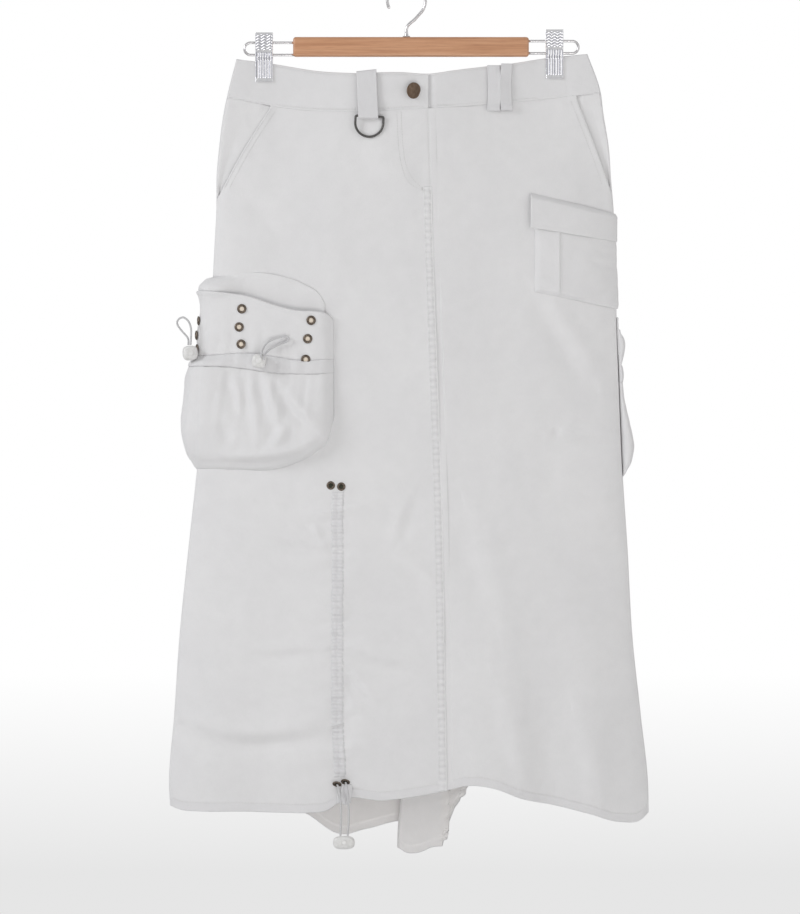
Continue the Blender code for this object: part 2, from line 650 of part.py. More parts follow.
def ring_axis():
    """Y and Z of the D-ring's bar: the ring hangs plumb, just clear of the panel behind it."""
    middle, _, _, drop = TAB_LOOP
    foot = drop + RING_HEIGHT
    stand = max(depth(FRONT, middle, drop) + RING_WIRE + TWILL + 3 * LAP_GAP,
                depth(FRONT, middle, foot) + RING_WIRE + 0.6)
    return -stand, -drop


def tab_loop():
    """The wide loop: down the band, round the D-ring's bar and up behind it."""
    middle, width, top, bar = TAB_LOOP
    axis_y, axis_z = ring_axis()
    band_foot = bar - 4.5
    inner = RING_WIRE + 0.35
    outer = inner + TWILL
    path = []
    for k in range(8):
        share = k / 7
        drop = mix(top, band_foot, share)
        stand = TWILL + LAP_GAP + LOOP_BOW * math.sin(math.pi * share) ** 0.7
        flush = -(max(depth(FRONT, middle + edge * width / 2, drop) for edge in (-1, 1)) + stand)
        path.append((mix(flush, min(flush, axis_y - outer), smooth((share - 0.6) / 0.4)), -drop))
    for angle in (0, 45, 90, 135, 180):
        bend = math.radians(angle)
        path.append((axis_y - outer * math.cos(bend), axis_z - outer * math.sin(bend)))
    path.append((axis_y + outer, axis_z + 2.2))

    def point(column, row):
        return (middle + (column - 0.5) * width, *path[row])

    return cloth("belt_loop_front_right", 1, len(path) - 1, point, TWILL_FINISH)


def d_ring():
    """A bent wire D: a straight bar, two short shoulders and a half round; its origin is on the bar's axis."""
    half = RING_WIDTH / 2 - RING_WIRE
    straight = RING_HEIGHT - 2 * RING_WIRE - half
    points = [(half * share, 0, 0) for share in (-0.9, 0.0, 0.9)] + [(half, 0, -1.8)]
    for k in range(13):
        bend = math.pi * k / 12
        points.append((half * math.cos(bend), 0, -straight - half * math.sin(bend)))
    points.append((-half, 0, -1.8))
    axis = Matrix.Translation(Vector((TAB_LOOP[0] + RING_ASIDE, *ring_axis())) * MM)
    return tube("d_ring", points, RING_WIRE, METAL_FINISH, cyclic=True, place=axis)


def button():
    x, drop, radius = BUTTON
    place = facing(wall(FRONT, x, drop, LAP_GAP), (0, -1, 0.05))
    profile = ((0, 1.9), (radius * 0.62, 2.1), (radius * 0.86, 2.7), (radius, 1.9), (radius, 0.5), (radius * 0.9, 0),
               (0, 0))
    return turned("waist_button", profile, 18, METAL_FINISH, place)


# ================================================================ flap pocket, round the left side seam
def flap_stations():
    """Grid lines round the flap pocket: places in x, distances in from the side edge, angles round it."""
    front = [("front", x) for x in (144.5, 150, 174.2, 176.2)]
    turn = [("front in", step) for step in EDGE_STEPS[::-1]] + [("side", angle) for angle in (60, 0, -60)] \
        + [("back in", step) for step in EDGE_STEPS[:-1]]
    return front + turn + [("back in", FLAP_WRAP)]


def station_x(hand, station, drop):
    kind, at = station
    if kind == "side":
        return side_edge(hand, drop)
    return side_edge(hand, drop) - hand * at if kind.endswith("in") else at


def on_skirt(hand, station, drop, out):
    kind, at = station
    if kind == "side":
        return turn_of_side(hand, at, drop, out)
    return wall(FRONT if kind.startswith("front") else BACK, station_x(hand, station, drop), drop, out)


def edge_place(station, hand):
    """The x at which a table of a wrapped pocket's edges is read; the back is unrolled past the side."""
    x = station_x(hand, station, 300)
    return 2 * side_edge(hand, 300) - x if station[0].startswith("back") else x


def flap_pocket():
    stations = flap_stations()

    def stand_of(station):
        if station[0] == "side":
            return BODY_SIDE_STAND
        near = abs(side_edge(LEFT, 300) - station_x(LEFT, station, 300))
        stand = mix(BODY_SIDE_STAND, BODY_STAND, smooth(near / 45))
        over = station[0].startswith("front") and station_x(LEFT, station, 300) > PLEAT_X
        return stand + (PLEAT_STEP * smooth(near / 20) if over else 0.0)

    def body(column, row):
        station = ("front", FLAP_BODY[0][0]) if column == 0 else stations[column]
        at = edge_place(station, LEFT)
        top, foot = read(FLAP_BODY, at, 1), read(FLAP_BODY, at, 2)
        drop = (top, mix(top, foot, 0.33), mix(top, foot, 0.66), foot - 4.0, foot)[row]
        ends = (row == 4, column == 0, column == len(stations) - 1)
        stand = TWILL + LAP_GAP if any(ends) else max(TWILL + LAP_GAP, stand_of(station))
        return on_skirt(LEFT, station, drop, stand)

    def flap(column, row):
        station = ("front", FLAP_EDGE[0][0]) if column == 0 else stations[column]
        at = edge_place(station, LEFT)
        top, foot = read(FLAP_EDGE, at, 1), read(FLAP_EDGE, at, 2)
        drop = (top, top + 7.0, mix(top, foot, 0.6), foot)[row]
        stand = stand_of(station) + TWILL + FLAP_OVER * (0.5 if station[0] == "side" else 1.0)
        return on_skirt(LEFT, station, drop, TWILL + LAP_GAP if row == 0 else stand)

    cloth("flap_pocket_body", len(stations) - 1, 4, body, TWILL_FINISH)
    cloth("flap_pocket_flap", len(stations) - 1, 3, flap, TWILL_FINISH)


# ================================================================ drawstring pouches
def pouch_stations(spec):
    """Grid lines round a pouch, anticlockwise from above: shares of the way to its ends, angles at the side."""
    if spec["hand"] == RIGHT:
        back = [("back share", share) for share in (1.0, 0.86, 0.6, 0.36, 0.14)]
        front = [("front share", mix(0.035, 1.0, k / 17)) for k in range(18)]
        return back + [("side", angle) for angle in (-75, -45, -20, 0, 20, 45, 75)] + front
    back = [("back share", mix(0.03, 1.0, k / 20)) for k in range(21)]
    return [("side", angle) for angle in (0, -25, -50, -75)] + back


def pouch_place(spec, station, drop):
    """A pouch's grid line as a place in x, or an angle round the side edge."""
    kind, at = station
    if kind == "side":
        return station
    face = kind.split()[0]
    return face, mix(side_edge(spec["hand"], drop), spec[face + "_end"], at)


def pouch_edges(spec, station):
    """Drops of a pouch's upper edge, its casing's top and foot, and its own foot at a grid line."""
    kind, at = pouch_place(spec, station, 440)
    place = side_edge(spec["hand"], 440) if kind == "side" else at
    return [read(spec["edge"], place, column) for column in (1, 2, 3, 4)]


def pouch_point(spec, station, drop, swell=0.0):
    """Outer face of a pouch: the skirt's wall moved out by the pouch's depth there."""
    hand = spec["hand"]
    kind, at = pouch_place(spec, station, drop)
    _, _, casing_foot, foot = pouch_edges(spec, station)
    beside = read(spec["side"], drop)
    flat = read(POUCH_FLAT, drop - casing_foot + POUCH_FLAT[3][0])
    near_side = 0.0 if kind == "side" else abs(side_edge(hand, drop) - at)
    full = mix(beside, flat, smooth(near_side / 40))
    to_edge = foot - drop
    if kind != "side":
        to_edge = min(to_edge, abs(spec[kind + "_end"] - at))
    elif spec["front_end"] is None and at == 0:
        to_edge = 0.0
    share = min(1.0, max(0.0, to_edge / POUCH_ROUND))
    rounded = math.sqrt(1 - (1 - share) ** 2)
    attach = POUCH_ATTACH
    if kind == "side" and spec["front_end"] is None:
        attach = mix(OVER_BACKING, POUCH_ATTACH, smooth((drop - BACKING_FOOT[hand]) / 8))
    out = attach + max(0.0, full - attach) * rounded + swell * rounded
    return on_skirt(hand, (kind, at), drop, out)


def gathered(column):
    """Gathers stand up and lie down on every other grid line, unevenly."""
    return GATHER * (-1) ** column * (0.75 + 0.25 * math.sin(2.3 * column))


def pouch(name, spec):
    stations = pouch_stations(spec)
    last = len(stations) - 1

    def yoke(column, row):
        top, foot, _, _ = pouch_edges(spec, stations[column])
        drop = mix(top, foot - CASING_SEAM / 2, row / 3)
        return pouch_point(spec, stations[column], drop, 0.35 * gathered(column) * smooth(row / 3))

    def casing(column, row):
        _, top, foot, _ = pouch_edges(spec, stations[column])
        drop = mix(top + CASING_SEAM / 2, foot - CASING_SEAM / 2, row / 2)
        return pouch_point(spec, stations[column], drop, (0.0, CASING_SWELL, 0.0)[row] + 0.35 * gathered(column))

    def bag(column, row):
        _, _, top, foot = pouch_edges(spec, stations[column])
        share = (0.0, 0.12, 0.3, 0.5, 0.68, 0.84, 0.95, 1.0)[row]
        lift = (0.35, 1.0, 1.0, 0.7, 0.4, 0.2, 0.0, 0.0)[row]
        return pouch_point(spec, stations[column], mix(top + CASING_SEAM / 2, foot, share), lift * gathered(column))

    cloth(name + "_yoke", last, 3, yoke, TWILL_FINISH)
    cloth(name + "_casing", last, 2, casing, TWILL_FINISH)
    cloth(name + "_bag", last, 7, bag, TWILL_FINISH)


def backing(name, spec, arch):
    """The flat piece on the skirt behind a pouch's mouth; its arched top shows above the mouth."""
    hand = spec["hand"]
    face = "front" if hand == RIGHT else "back"
    turn = [(angle, SIDE_TOPS[hand]) for angle in (-60, 0, 60)]
    stations = [(("side", angle), top) for angle, top in turn]
    if hand == RIGHT:
        stations = [(("back in", step), SIDE_TOPS[hand]) for step in (30.0, 18.0, 6.0, 1.5)] + stations
    else:
        stations = stations[1::-1]
    stations += [((face + " in", step), mix(SIDE_TOPS[hand], arch[0][1], step / 30)) for step in EDGE_STEPS[:-1]]
    stations += [((face, x), top) for x, top in arch]

    def point(column, row):
        station, top = stations[column]
        return on_skirt(hand, station, mix(top, BACKING_FOOT[hand], row / 3), TWILL + LAP_GAP)

    cloth(name, len(stations) - 1, 3, point, TWILL_FINISH)


def on_pouch(spec, station, drop, out):
    """Point and outward normal on a pouch's outer face; the station is a place in x or an angle."""
    kind, at = station
    hand = spec["hand"]

    def point(x, at_drop):
        if kind == "side":
            return Vector(pouch_point(spec, ("side", x), at_drop))
        edge = side_edge(hand, at_drop)
        return Vector(pouch_point(spec, (kind + " share", (x - edge) / (spec[kind + "_end"] - edge)), at_drop))

    here = point(at, drop)
    if kind == "side":
        bend = math.radians(at)
        return here + Vector((hand * math.cos(bend), -math.sin(bend), 0)) * out, \
            Vector((hand * math.cos(bend), -math.sin(bend), 0))
    step = 2.0 if kind == "front" else -2.0
    normal = (point(at + step, drop) - here).cross(point(at, drop - 2) - here).normalized()
    return here + normal * out, normal


def eyelet(name, point, normal, scale=1.0):
    outer, hole, height = (value * scale for value in EYELET)
    profile = ((hole, height * 0.75), ((hole + outer) / 2, height), (outer, 0), (hole, 0))
    return turned(name, profile, 12, METAL_FINISH, facing(point, normal))


def toggle(name, centre, size):
    """A rounded cord lock; size is its width, depth and height."""
    mesh = bpy.data.meshes.new(name)
    ball = bmesh.new()
    bmesh.ops.create_uvsphere(ball, u_segments=12, v_segments=7, radius=1.0)
    for vertex in ball.verts:
        vertex.co = Vector([half * math.copysign(abs(value) ** 0.8, value) * MM / 2
                            for half, value in zip(size, vertex.co)])
    ball.to_mesh(mesh)
    ball.free()
    mesh.shade_smooth()
    return add(name, mesh, TOGGLE_FINISH, Matrix.Translation(Vector(centre) * MM))


def cord_loop(name, spec, route):
    """A loop of cord standing off a pouch: its route is (kind, place, drop, out)."""
    points = [on_pouch(spec, (kind, at), drop, out)[0] for kind, at, drop, out in route]
    tube(name, curve_through(points, 15), CORD_RADIUS, CORD_FINISH)


def pouch_eyelets(name, spec, places):
    for k, (kind, at, drop) in enumerate(places):
        point, normal = on_pouch(spec, (kind, at), drop, EYELET_STAND)
        eyelet(f"{name}_{k + 1}", point, normal)


def side_pouch_pieces():
    spec = SIDE_POUCH
    pouch("side_pocket", spec)
    backing("side_pocket_backing", spec, SIDE_ARCH)
    for column, places in SIDE_EYELETS.items():
        pouch_eyelets("side_pocket_eyelet_" + column, spec, places)
    place, _ = on_pouch(spec, ("front", -167.6), 432.4, CASING_SWELL + 7.0)
    toggle("side_pocket_toggle_front", place, (17.0, 14.0, 16.6))
    cord_loop("side_pocket_cord_front", spec, SIDE_LOOP_FRONT)
    place, _ = on_pouch(spec, ("side", 35), 423.0, CASING_SWELL + 10.0)
    toggle("side_pocket_toggle_side", place, (18.0, 15.0, 17.6))
    cord_loop("side_pocket_cord_side", spec, SIDE_LOOP_SIDE)


def back_pouch_pieces():
    spec = BACK_POUCH
    pouch("back_pocket", spec)
    backing("back_pocket_backing", spec, BACK_ARCH)
    pouch_eyelets("back_pocket_eyelet", spec, BACK_EYELETS)
    for name, at, route in (("inner", 100.0, BACK_LOOP_INNER), ("outer", 184.0, BACK_LOOP_OUTER)):
        place, _ = on_pouch(spec, ("back", at), 446.0, CASING_SWELL + 7.4)
        toggle("back_pocket_toggle_" + name, place, (17.0, 14.0, 16.6))
        cord_loop("back_pocket_cord_" + name, spec, route)


# ================================================================ hanger
def hanger():
    start, end, top, foot, thickness = BAR
    bpy.ops.mesh.primitive_cube_add(size=1.0, location=((start + end) / 2 * MM, 0, -(top + foot) / 2 * MM))
    bar = bpy.context.object
    bar.name = "hanger_bar"
    for vertex in bar.data.vertices:
        vertex.co = Vector((vertex.co.x * (end - start), vertex.co.y * thickness, vertex.co.z * (foot - top))) * MM
    for holder in list(bar.users_collection):
        holder.objects.unlink(bar)
    bpy.data.collections["denim_skirt"].objects.link(bar)
    bar.data.materials.append(WOOD_FINISH)
    rounded = bar.modifiers.new("rounded edges", "BEVEL")
    rounded.width = 2.5 * MM
    rounded.segments = 2

    for hand, (far, upper) in WIRE_LOOPS.items():
        near = (start if hand == RIGHT else end) + hand * SEAM_GAP
        bend = WIRE_SPACING / 2
        centre = far - hand * bend
        points = [(near, 0, -upper), (mix(near, centre, 0.5), 0, -upper)]
        for k in range(9):
            angle = math.pi * k / 8
            points.append((centre + hand * bend * math.sin(angle), 0, -upper - bend * (1 - math.cos(angle))))
        points += [(mix(near, centre, 0.5), 0, -upper - WIRE_SPACING), (near, 0, -upper - WIRE_SPACING)]
        tube("hanger_wire_right" if hand == RIGHT else "hanger_wire_left", points, WIRE_RADIUS, STEEL_FINISH)

    centre_z = HOOK_RADIUS - HOOK_BEND
    route = [(0, 0, -(top - SEAM_GAP)), (0, 0, -54)]
    route += [(4.5, 0, -46.5), (13.5, 0, -39.0)]
    for degrees in range(-36, 211, 18):
        angle = math.radians(degrees)
        route.append((HOOK_BEND * math.cos(angle), 0, centre_z + HOOK_BEND * math.sin(angle)))
    tube("hanger_hook", route, HOOK_RADIUS, STEEL_FINISH)

    for hand, (middle, clip_top, clip_foot) in CLIPS.items():
        clip(hand, middle, clip_top, clip_foot)


def clip(hand, middle, top, foot):
    """Two jaws and the bridge between the wires, as one extruded outline like an H."""
    upper = WIRE_LOOPS[hand][1] + WIRE_RADIUS + SEAM_GAP
    lower = WIRE_LOOPS[hand][1] + WIRE_SPACING - WIRE_RADIUS - SEAM_GAP
    throat = lower + 2 * WIRE_RADIUS + 1
    jaw = GRIP + SEAM_GAP
    lip = jaw + 0.8
    inner = [(JAW_OPEN, lower), (JAW_OPEN, throat), (jaw, throat + 4), (jaw, foot - 3), (lip, foot)]
    outer = [(y + JAW_THICKNESS, drop) for y, drop in inner[1:]]
    half = [(JAW_OPEN, upper), (JAW_OPEN, top), (JAW_OPEN + JAW_THICKNESS, top)] + outer + inner[::-1]
    outline = [(y, -drop) for y, drop in half] + [(-y, -drop) for y, drop in half[::-1]]
    curve = bpy.data.curves.new("clip", "CURVE")
    curve.dimensions = "2D"
    curve.fill_mode = "BOTH"
    curve.extrude = CLIP_WIDTH / 2 * MM
    line = curve.splines.new("POLY")
    line.points.add(len(outline) - 1)
    for knot, (y, z) in zip(line.points, outline):
        knot.co = (y * MM, z * MM, 0, 1)
    line.use_cyclic_u = True
    stand = Matrix.Translation((middle * MM, 0, 0)) @ Matrix.Rotation(math.pi / 2, 4, "Z") \
        @ Matrix.Rotation(math.pi / 2, 4, "X")
    add("hanger_clip_right" if hand == RIGHT else "hanger_clip_left", curve, CHROME_FINISH, stand)


# ================================================================ ruching channel and its cord
def channel():
    middle, width, top, foot = CHANNEL
    rows = 2 * CHANNEL_PUCKERS

    def point(column, row):
        x = middle + (column - 0.5) * width
        stand = TWILL + 2 * LAP_GAP + (0.0, PUCKER)[row % 2]
        return wall(FRONT, x, mix(top, foot, row / rows), stand)

    cloth("ruching_channel", 1, rows, point, TWILL_FINISH)
    places = []
    for k, (x, drop) in enumerate(CHANNEL_EYELETS):
        place = Vector(wall(FRONT, x, drop, EYELET_STAND))
        eyelet(f"channel_eyelet_{k + 1}", place, (0, -1, 0), 0.83)
        places.append(place)
    return places


def hem_cords(places):
    """Two cord ends from the lower eyelets to one toggle below the hem."""
    toggle_place = (-71.0, -46.5, -979.3)
    toggle("hem_toggle", toggle_place, (25.5, 12.0, 15.6))
    for name, place, end_x, side_x in (("hem_cord_1", places[2], -75.0, -74.6), ("hem_cord_2", places[3], -66.8, -65.9)):
        out = place.y - EYELET[2] - CORD_RADIUS - LAP_GAP
        route = ((place.x, out, place.z), (mix(place.x, side_x, 0.5), out - 1.0, place.z - 7),
                 (side_x, -45.6, -935), (side_x + 0.4, -46.4, -953), (end_x, -46.5, -979.3 + 7.9))
        tube(name, curve_through(route, 11), CORD_RADIUS, CORD_FINISH)


# ================================================================ everything
def main():
    clear_scene()
    bpy.context.scene.collection.children.link(bpy.data.collections.new("denim_skirt"))
    front_panel(RIGHT)
    front_panel(LEFT)
    hip_piece(RIGHT)
    hip_piece(LEFT)
    back_panel()
    waistbands()
    for name, (face, middle, width, top, foot) in BELT_LOOPS.items():
        belt_loop(name, face, middle, width, top, foot)
    tab_loop()
    d_ring()
    button()
    flap_pocket()
    side_pouch_pieces()
    back_pouch_pieces()
    hem_cords(channel())
    hanger()


TWILL_FINISH = material("off_white_twill", (0.80, 0.80, 0.80), 0.85)
METAL_FINISH = material("antique_metal", (0.16, 0.13, 0.10), 0.4, 1.0)
STEEL_FINISH = material("steel_wire", (0.62, 0.62, 0.62), 0.3, 1.0)
CHROME_FINISH = material("chrome", (0.75, 0.75, 0.76), 0.15, 1.0)
WOOD_FINISH = material("lacquered_wood", (0.60, 0.33, 0.20), 0.4)
TOGGLE_FINISH = material("clear_plastic", (0.82, 0.82, 0.80), 0.3)
CORD_FINISH = material("white_cord", (0.80, 0.80, 0.79), 0.8)

main()
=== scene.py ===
import math

import bpy
import numpy as np
from mathutils import Matrix, Vector


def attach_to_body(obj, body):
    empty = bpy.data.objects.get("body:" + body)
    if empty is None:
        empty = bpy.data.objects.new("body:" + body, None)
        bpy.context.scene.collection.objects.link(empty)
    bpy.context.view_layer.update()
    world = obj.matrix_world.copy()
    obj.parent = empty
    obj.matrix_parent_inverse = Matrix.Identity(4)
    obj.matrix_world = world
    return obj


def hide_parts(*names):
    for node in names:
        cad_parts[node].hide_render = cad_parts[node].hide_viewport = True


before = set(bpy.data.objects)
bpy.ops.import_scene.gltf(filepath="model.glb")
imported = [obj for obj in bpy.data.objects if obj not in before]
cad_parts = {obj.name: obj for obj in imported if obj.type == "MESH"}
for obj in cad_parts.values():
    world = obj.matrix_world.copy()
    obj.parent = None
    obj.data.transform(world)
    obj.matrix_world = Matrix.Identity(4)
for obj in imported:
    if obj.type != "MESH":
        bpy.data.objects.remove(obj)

# A long off-white cargo skirt in cotton twill on a wooden clip hanger.
# Tables and functions hold millimetres, and MM turns them into metres where a mesh is made.
# A "drop" is a distance straight down from the origin. The front faces -Y, the wearer's right is at -X.

MM = 0.001
FRONT, BACK = -1, 1
RIGHT, LEFT = -1, 1
SIDE = {RIGHT: "right", LEFT: "left"}
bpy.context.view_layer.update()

# ---------------------------------------------------------------- cloth
TWILL = 1.2
BAND_CLOTH = 2.0
SEAM_GAP = 0.3
LAP_GAP = 0.45
HIP_GAP = (0.8, 2.2)
BAND_GAP = -0.2
TURN_EASE = 0.6
FULLNESS = 1.8
SIDE_DEPTH = 1.5
SIDE_ZONE = 42.0            # columns this near a side edge keep their distance from it
BAND_SIDE_ZONE = 16.0       # the same on the waistband
FRONT_LENGTH = 800.0        # about; the rows of the fronts and the back are spaced by it
LAP_REACH = 7.0             # how far the left front runs on under the right one
# drops near an edge, at which a column's place along that edge is found
WAIST_LEVEL, HEM_LEVEL = 85.0, 940.0
SEAM_LEVEL = {"front": 145.0, "back": 140.0, "hip": 135.0, "side": 130.0}

# drop, right side edge, left side edge, half depth of the front, half depth of the back
OUTLINE = (
    (81, -192.5, 206.5, 12, 10),
    (125, -203.8, 221.7, 13, 11),
    (148, -208.6, 224.6, 15, 13),
    (188, -213.9, 231.0, 18, 17),
    (226, -217.0, 233.7, 21, 20),
    (260, -217.0, 236.5, 22, 22),
    (296, -218.9, 237.0, 23, 23),
    (336, -221.0, 238.7, 24, 24),
    (404, -225.2, 240.5, 25, 26),
    (458, -229.7, 242.6, 26, 27),
    (556, -239.2, 246.6, 28, 30),
    (647, -249.1, 252.5, 31, 33),
    (749, -259.4, 258.2, 34, 37),
    (834, -265.0, 267.3, 36, 40),
    (918, -271.0, 276.0, 38, 42),
    (945, -269.5, 276.5, 38, 42),
)
WAIST_EDGE = (
    (-193.2, 87.3), (-151.5, 93.0), (-97.8, 101.5), (-63.3, 103.5), (-7.4, 102.6), (24.5, 104.4),
    (55.3, 100.3), (89.5, 96.1), (113.4, 93.5), (159.0, 86.3), (206.9, 81.5),
)
BAND_SEAM = (
    (-204.0, 131.6), (-176.0, 136.3), (-148.8, 141.8), (-96.3, 147.2), (-50.0, 147.4), (-7.4, 145.4),
    (55.3, 142.2), (124.8, 136.4), (193.2, 129.3), (224.0, 125.8),
)
FRONT_HEM = (
    (-270.0, 939.0), (-258.0, 943.5), (-237.7, 945.1), (-191.0, 945.1), (-139.7, 946.2), (-111.2, 946.2),
    (-88.8, 942.7), (-74.7, 932.5), (-26.2, 932.1), (-7.4, 930.2), (16.5, 926.5), (43.9, 920.9),
    (70.1, 915.4), (102.0, 919.3), (130.5, 930.1), (168.2, 937.7), (208.1, 947.8), (244.5, 957.4),
    (267.3, 954.9), (277.0, 946.2),
)
CENTRE_SEAM = (
    (103.0, 24.5), (169.9, 26.8), (224.6, 28.4), (271.3, 29.6), (442.3, 35.3), (613.3, 41.0),
    (784.3, 43.9), (909.7, 45.9),
)
RIGHT_MOUTH = ((142.5, -155.6), (191.5, -186.4), (248.0, -216.8))
LEFT_MOUTH = ((132.2, 194.4), (206.3, 222.9), (239.5, 234.2))

# soft vertical folds: wall, x at the hem, x at the top, top drop, half width, height at the hem
FOLDS = (
    (FRONT, -226, -222, 600, 34, 4.0),
    (FRONT, -160, -150, 640, 34, -3.0),
    (FRONT, 108, 78, 560, 38, 5.0),
    (FRONT, 162, 150, 640, 32, -4.0),
    (FRONT, 214, 196, 620, 32, 5.0),
    (BACK, -196, -180, 480, 40, 7.0),
    (BACK, -134, -120, 560, 34, -4.0),
    (BACK, 150, 130, 560, 34, -4.0),
    (BACK, 214, 196, 600, 36, 6.0),
)
FOLD_FOOT = 930

# ---------------------------------------------------------------- the tail of the back panel
# the hem from side to side: share of the way across, x, drop, how far it stands forward
BACK_LINES_RIGHT = (
    (0.0, -229.0, 935, 0), (0.09, -185, 939, 0), (0.18, -140, 943, 0), (0.25, -112, 952, 0), (0.30, -85, 971, 0),
    (0.40, -45, 968, 0), (0.475, -6, 959, 0), (0.515, 16, 960, 0),
)
BACK_LINES_LEFT = (
    (0.600, -1.5, 994.6, 10.2), (0.625, 4.6, 995.9, 10.5), (0.634, 13.2, 995.3, 10.5), (0.641, 20.1, 993.0, 11),
    (0.650, 28.8, 988.4, 11), (0.660, 41.3, 987.9, 11), (0.664, 42.3, 981.5, 11), (0.669, 47.4, 979.3, 11),
    (0.676, 48.1, 970.1, 10.8), (0.681, 46.6, 966.6, 10.6), (0.690, 51.7, 952.9, 10.3), (0.698, 55.3, 943.7, 10.2),
    (0.706, 61.3, 935.7, 10), (0.711, 62.5, 931.1, 10), (0.717, 67.9, 930.0, 9.8), (0.722, 68.6, 922.0, 9.6),
    (0.729, 71.4, 918.5, 9.4), (0.748, 79.0, 911.0, 9), (0.80, 110, 905, 4), (0.89, 166, 924, 0.5),
    (1.0, 234.5, 944, 0.0),
)
TAIL_FOLD = (0.535, 28.0, 35.4)        # share across where it starts, x of its edge, width of the folded layer
TAIL_FOLD_DROP = 962
FOLD_RADII = (3.0, 2.0)
FOLD_DROPS = (TAIL_FOLD_DROP, 976, 988, 990.5)
FOLD_STEPS = 6
LAYER_STEPS = 10
FOLD_WIDTH = 0.042
TAIL_START = 0.56
TAIL_TURNED = 0.42
TAIL_STANDS = 0.12          # the folds stand in full after this share of the tail
SIDE_LIFT = 8.0             # the back's hem rises this much beside its side seams

# ---------------------------------------------------------------- hanger
BAR = (-129.4, 139.7, 62.1, 84.7, 12.0)         # right end, left end, top, foot, thickness
WIRE_RADIUS = 1.5
WIRE_SPACING = 14.0
WIRE_LOOPS = {RIGHT: (-184.9, 68.5), LEFT: (196.3, 66.6)}
CLIPS = {RIGHT: (-162.5, 57.0, 112.9), LEFT: (169.0, 53.6, 109.4)}
CLIP_WIDTH = 20.0
RIDGE_PITCH, RIDGE_SWING = 3.3, 2.2
RIB_PITCH = 2.9
ZIGZAG_SHARE = 0.36         # the zigzag ridges end at this share of the jaw's height
JAW_FRAME = 3.6             # the plain lip below the ribs
GRIP = 2.15
JAW_THICKNESS = 1.4
JAW_OPEN = 4.2
GRIP_MARGIN = 2.0
GRIP_FADE = 147.0
CORNER_SWELL = 0.8
BOW_POWER = 1.4
HOOK_RADIUS = 1.75
HOOK_BEND = 21.75

# ---------------------------------------------------------------- hardware
BUTTON = (7.4, 123.8, 8.5)                      # x, drop, radius
TAB_LOOP = (-43.6, 22.8, 104.5, 153.4)          # middle, width, top, drop of the ring's bar
BELT_LOOPS = (              # name, wall, middle, width, top, foot, twist
    ("belt_loop_front_left_inner", FRONT, 99.1, 14.6, 94.6, 147.2, 0.5),
    ("belt_loop_front_left_outer", FRONT, 114.6, 13.4, 92.6, 146.4, -0.8),
    ("belt_loop_back", BACK, 7.0, 16.0, 105.0, 149.0, 0.0),
)
LOOP_SLACK = 2.4
RING_WIRE = 1.35
RING_WIDTH = 34.6
RING_HEIGHT = 26.0
RING_ASIDE = 1.6
EYELET_STAND = 0.6
CORD_RADIUS = 1.15

# ---------------------------------------------------------------- pockets
# x round the side, drop of the top, drop of the foot
FLAP_EDGE = ((140.8, 240.5, 280.4), (190.0, 252.0, 288.4), (240.0, 264.6, 296.4))
FLAP_BODY = ((145.9, 252.0, 353.4), (185.2, 262.0, 361.4), (240.0, 276.0, 372.8))
FLAP_LEVEL = 300.0          # the drop at which places round the side are counted
PLEAT_X = 175.0
ROUND_SIDE = (66, 44, 22, 0, -22, -44, -66)     # angles of the columns round a side edge
POCKET_CREASES = (
    ("crease", 1.6, 3.6, ((208.0, 318.0), (222.0, 322.0), (237.0, 324.0))),
    ("crease", 1.2, 3.2, ((214.0, 306.0), (226.0, 309.0), (236.0, 308.0))),
    ("crease", 1.2, 4.0, ((196.0, 360.5), (205.0, 362.0), (214.0, 361.0), (224.0, 357.0), (232.0, 350.0))),
    ("fold", 0.8, 4.0, ((150.0, 340.0), (168.0, 352.0))),
)
POUCH_ATTACH = 2.0
OVER_BACKING = 3.4
POUCH_ROUND = 18.0          # the pouch rises to its full depth over this much from its seam
POUCH_SEAM = 1.5
SIDE_TO_FLAT = 40.0         # the side's depth passes into the face's over this much
POUCH_FLAT = ((330, 10.5), (400, 11.0), (425, 10.0), (446, 10.0), (480, 16.0), (525, 16.0), (556, 10.0))
# "side" holds (drop, how far the pouch stands off beside the edge);
# "edge" holds x and the drops of the pouch's top, the casing's top and foot, and the pouch's foot
SIDE_POUCH = {
    "hand": RIGHT, "front_end": -82.1, "back_end": -190.0,
    "side": ((340, 18.8), (347, 18.8), (364, 13.2), (388, 12.5), (406, 13.8), (418, 12.0), (426, 11.5), (434, 18.0),
             (446, 22.5), (463, 23.3), (486, 23.0), (515, 21.0), (528, 17.0), (540, 12.0), (548, 8.0), (556, 4.0)),
    "edge": ((-240.0, 351.0, 426.5, 438.0, 555.0), (-214.0, 353.5, 425.0, 438.0, 555.5),
             (-183.3, 358.0, 423.0, 441.0, 556.0), (-148.8, 369.0, 427.0, 446.0, 556.0),
             (-123.7, 374.8, 431.0, 447.0, 548.5), (-99.8, 376.0, 431.0, 447.0, 534.5),
             (-87.2, 380.0, 430.0, 446.0, 519.3), (-82.1, 386.0, 430.0, 446.0, 496.0)),
}
BACK_POUCH = {
    "hand": LEFT, "front_end": None, "back_end": 44.0,
    "side": ((380, 3.4), (400, 4.0), (404, 6.5), (425, 7.0), (437, 4.0), (458, 4.0), (474, 5.0), (490, 8.5),
             (518, 13.5), (534, 14.5), (550, 10.0), (563, 4.0)),
    "edge": ((44.0, 404.0, 440.0, 456.0, 506.0), (54.0, 398.0, 440.0, 456.0, 530.0),
             (68.0, 392.0, 438.0, 457.0, 546.0), (96.0, 388.0, 437.0, 458.0, 562.0),
             (150.0, 386.0, 436.0, 458.0, 566.0), (205.0, 390.0, 436.0, 457.0, 566.0),
             (250.0, 397.0, 437.0, 456.0, 563.0)),
}
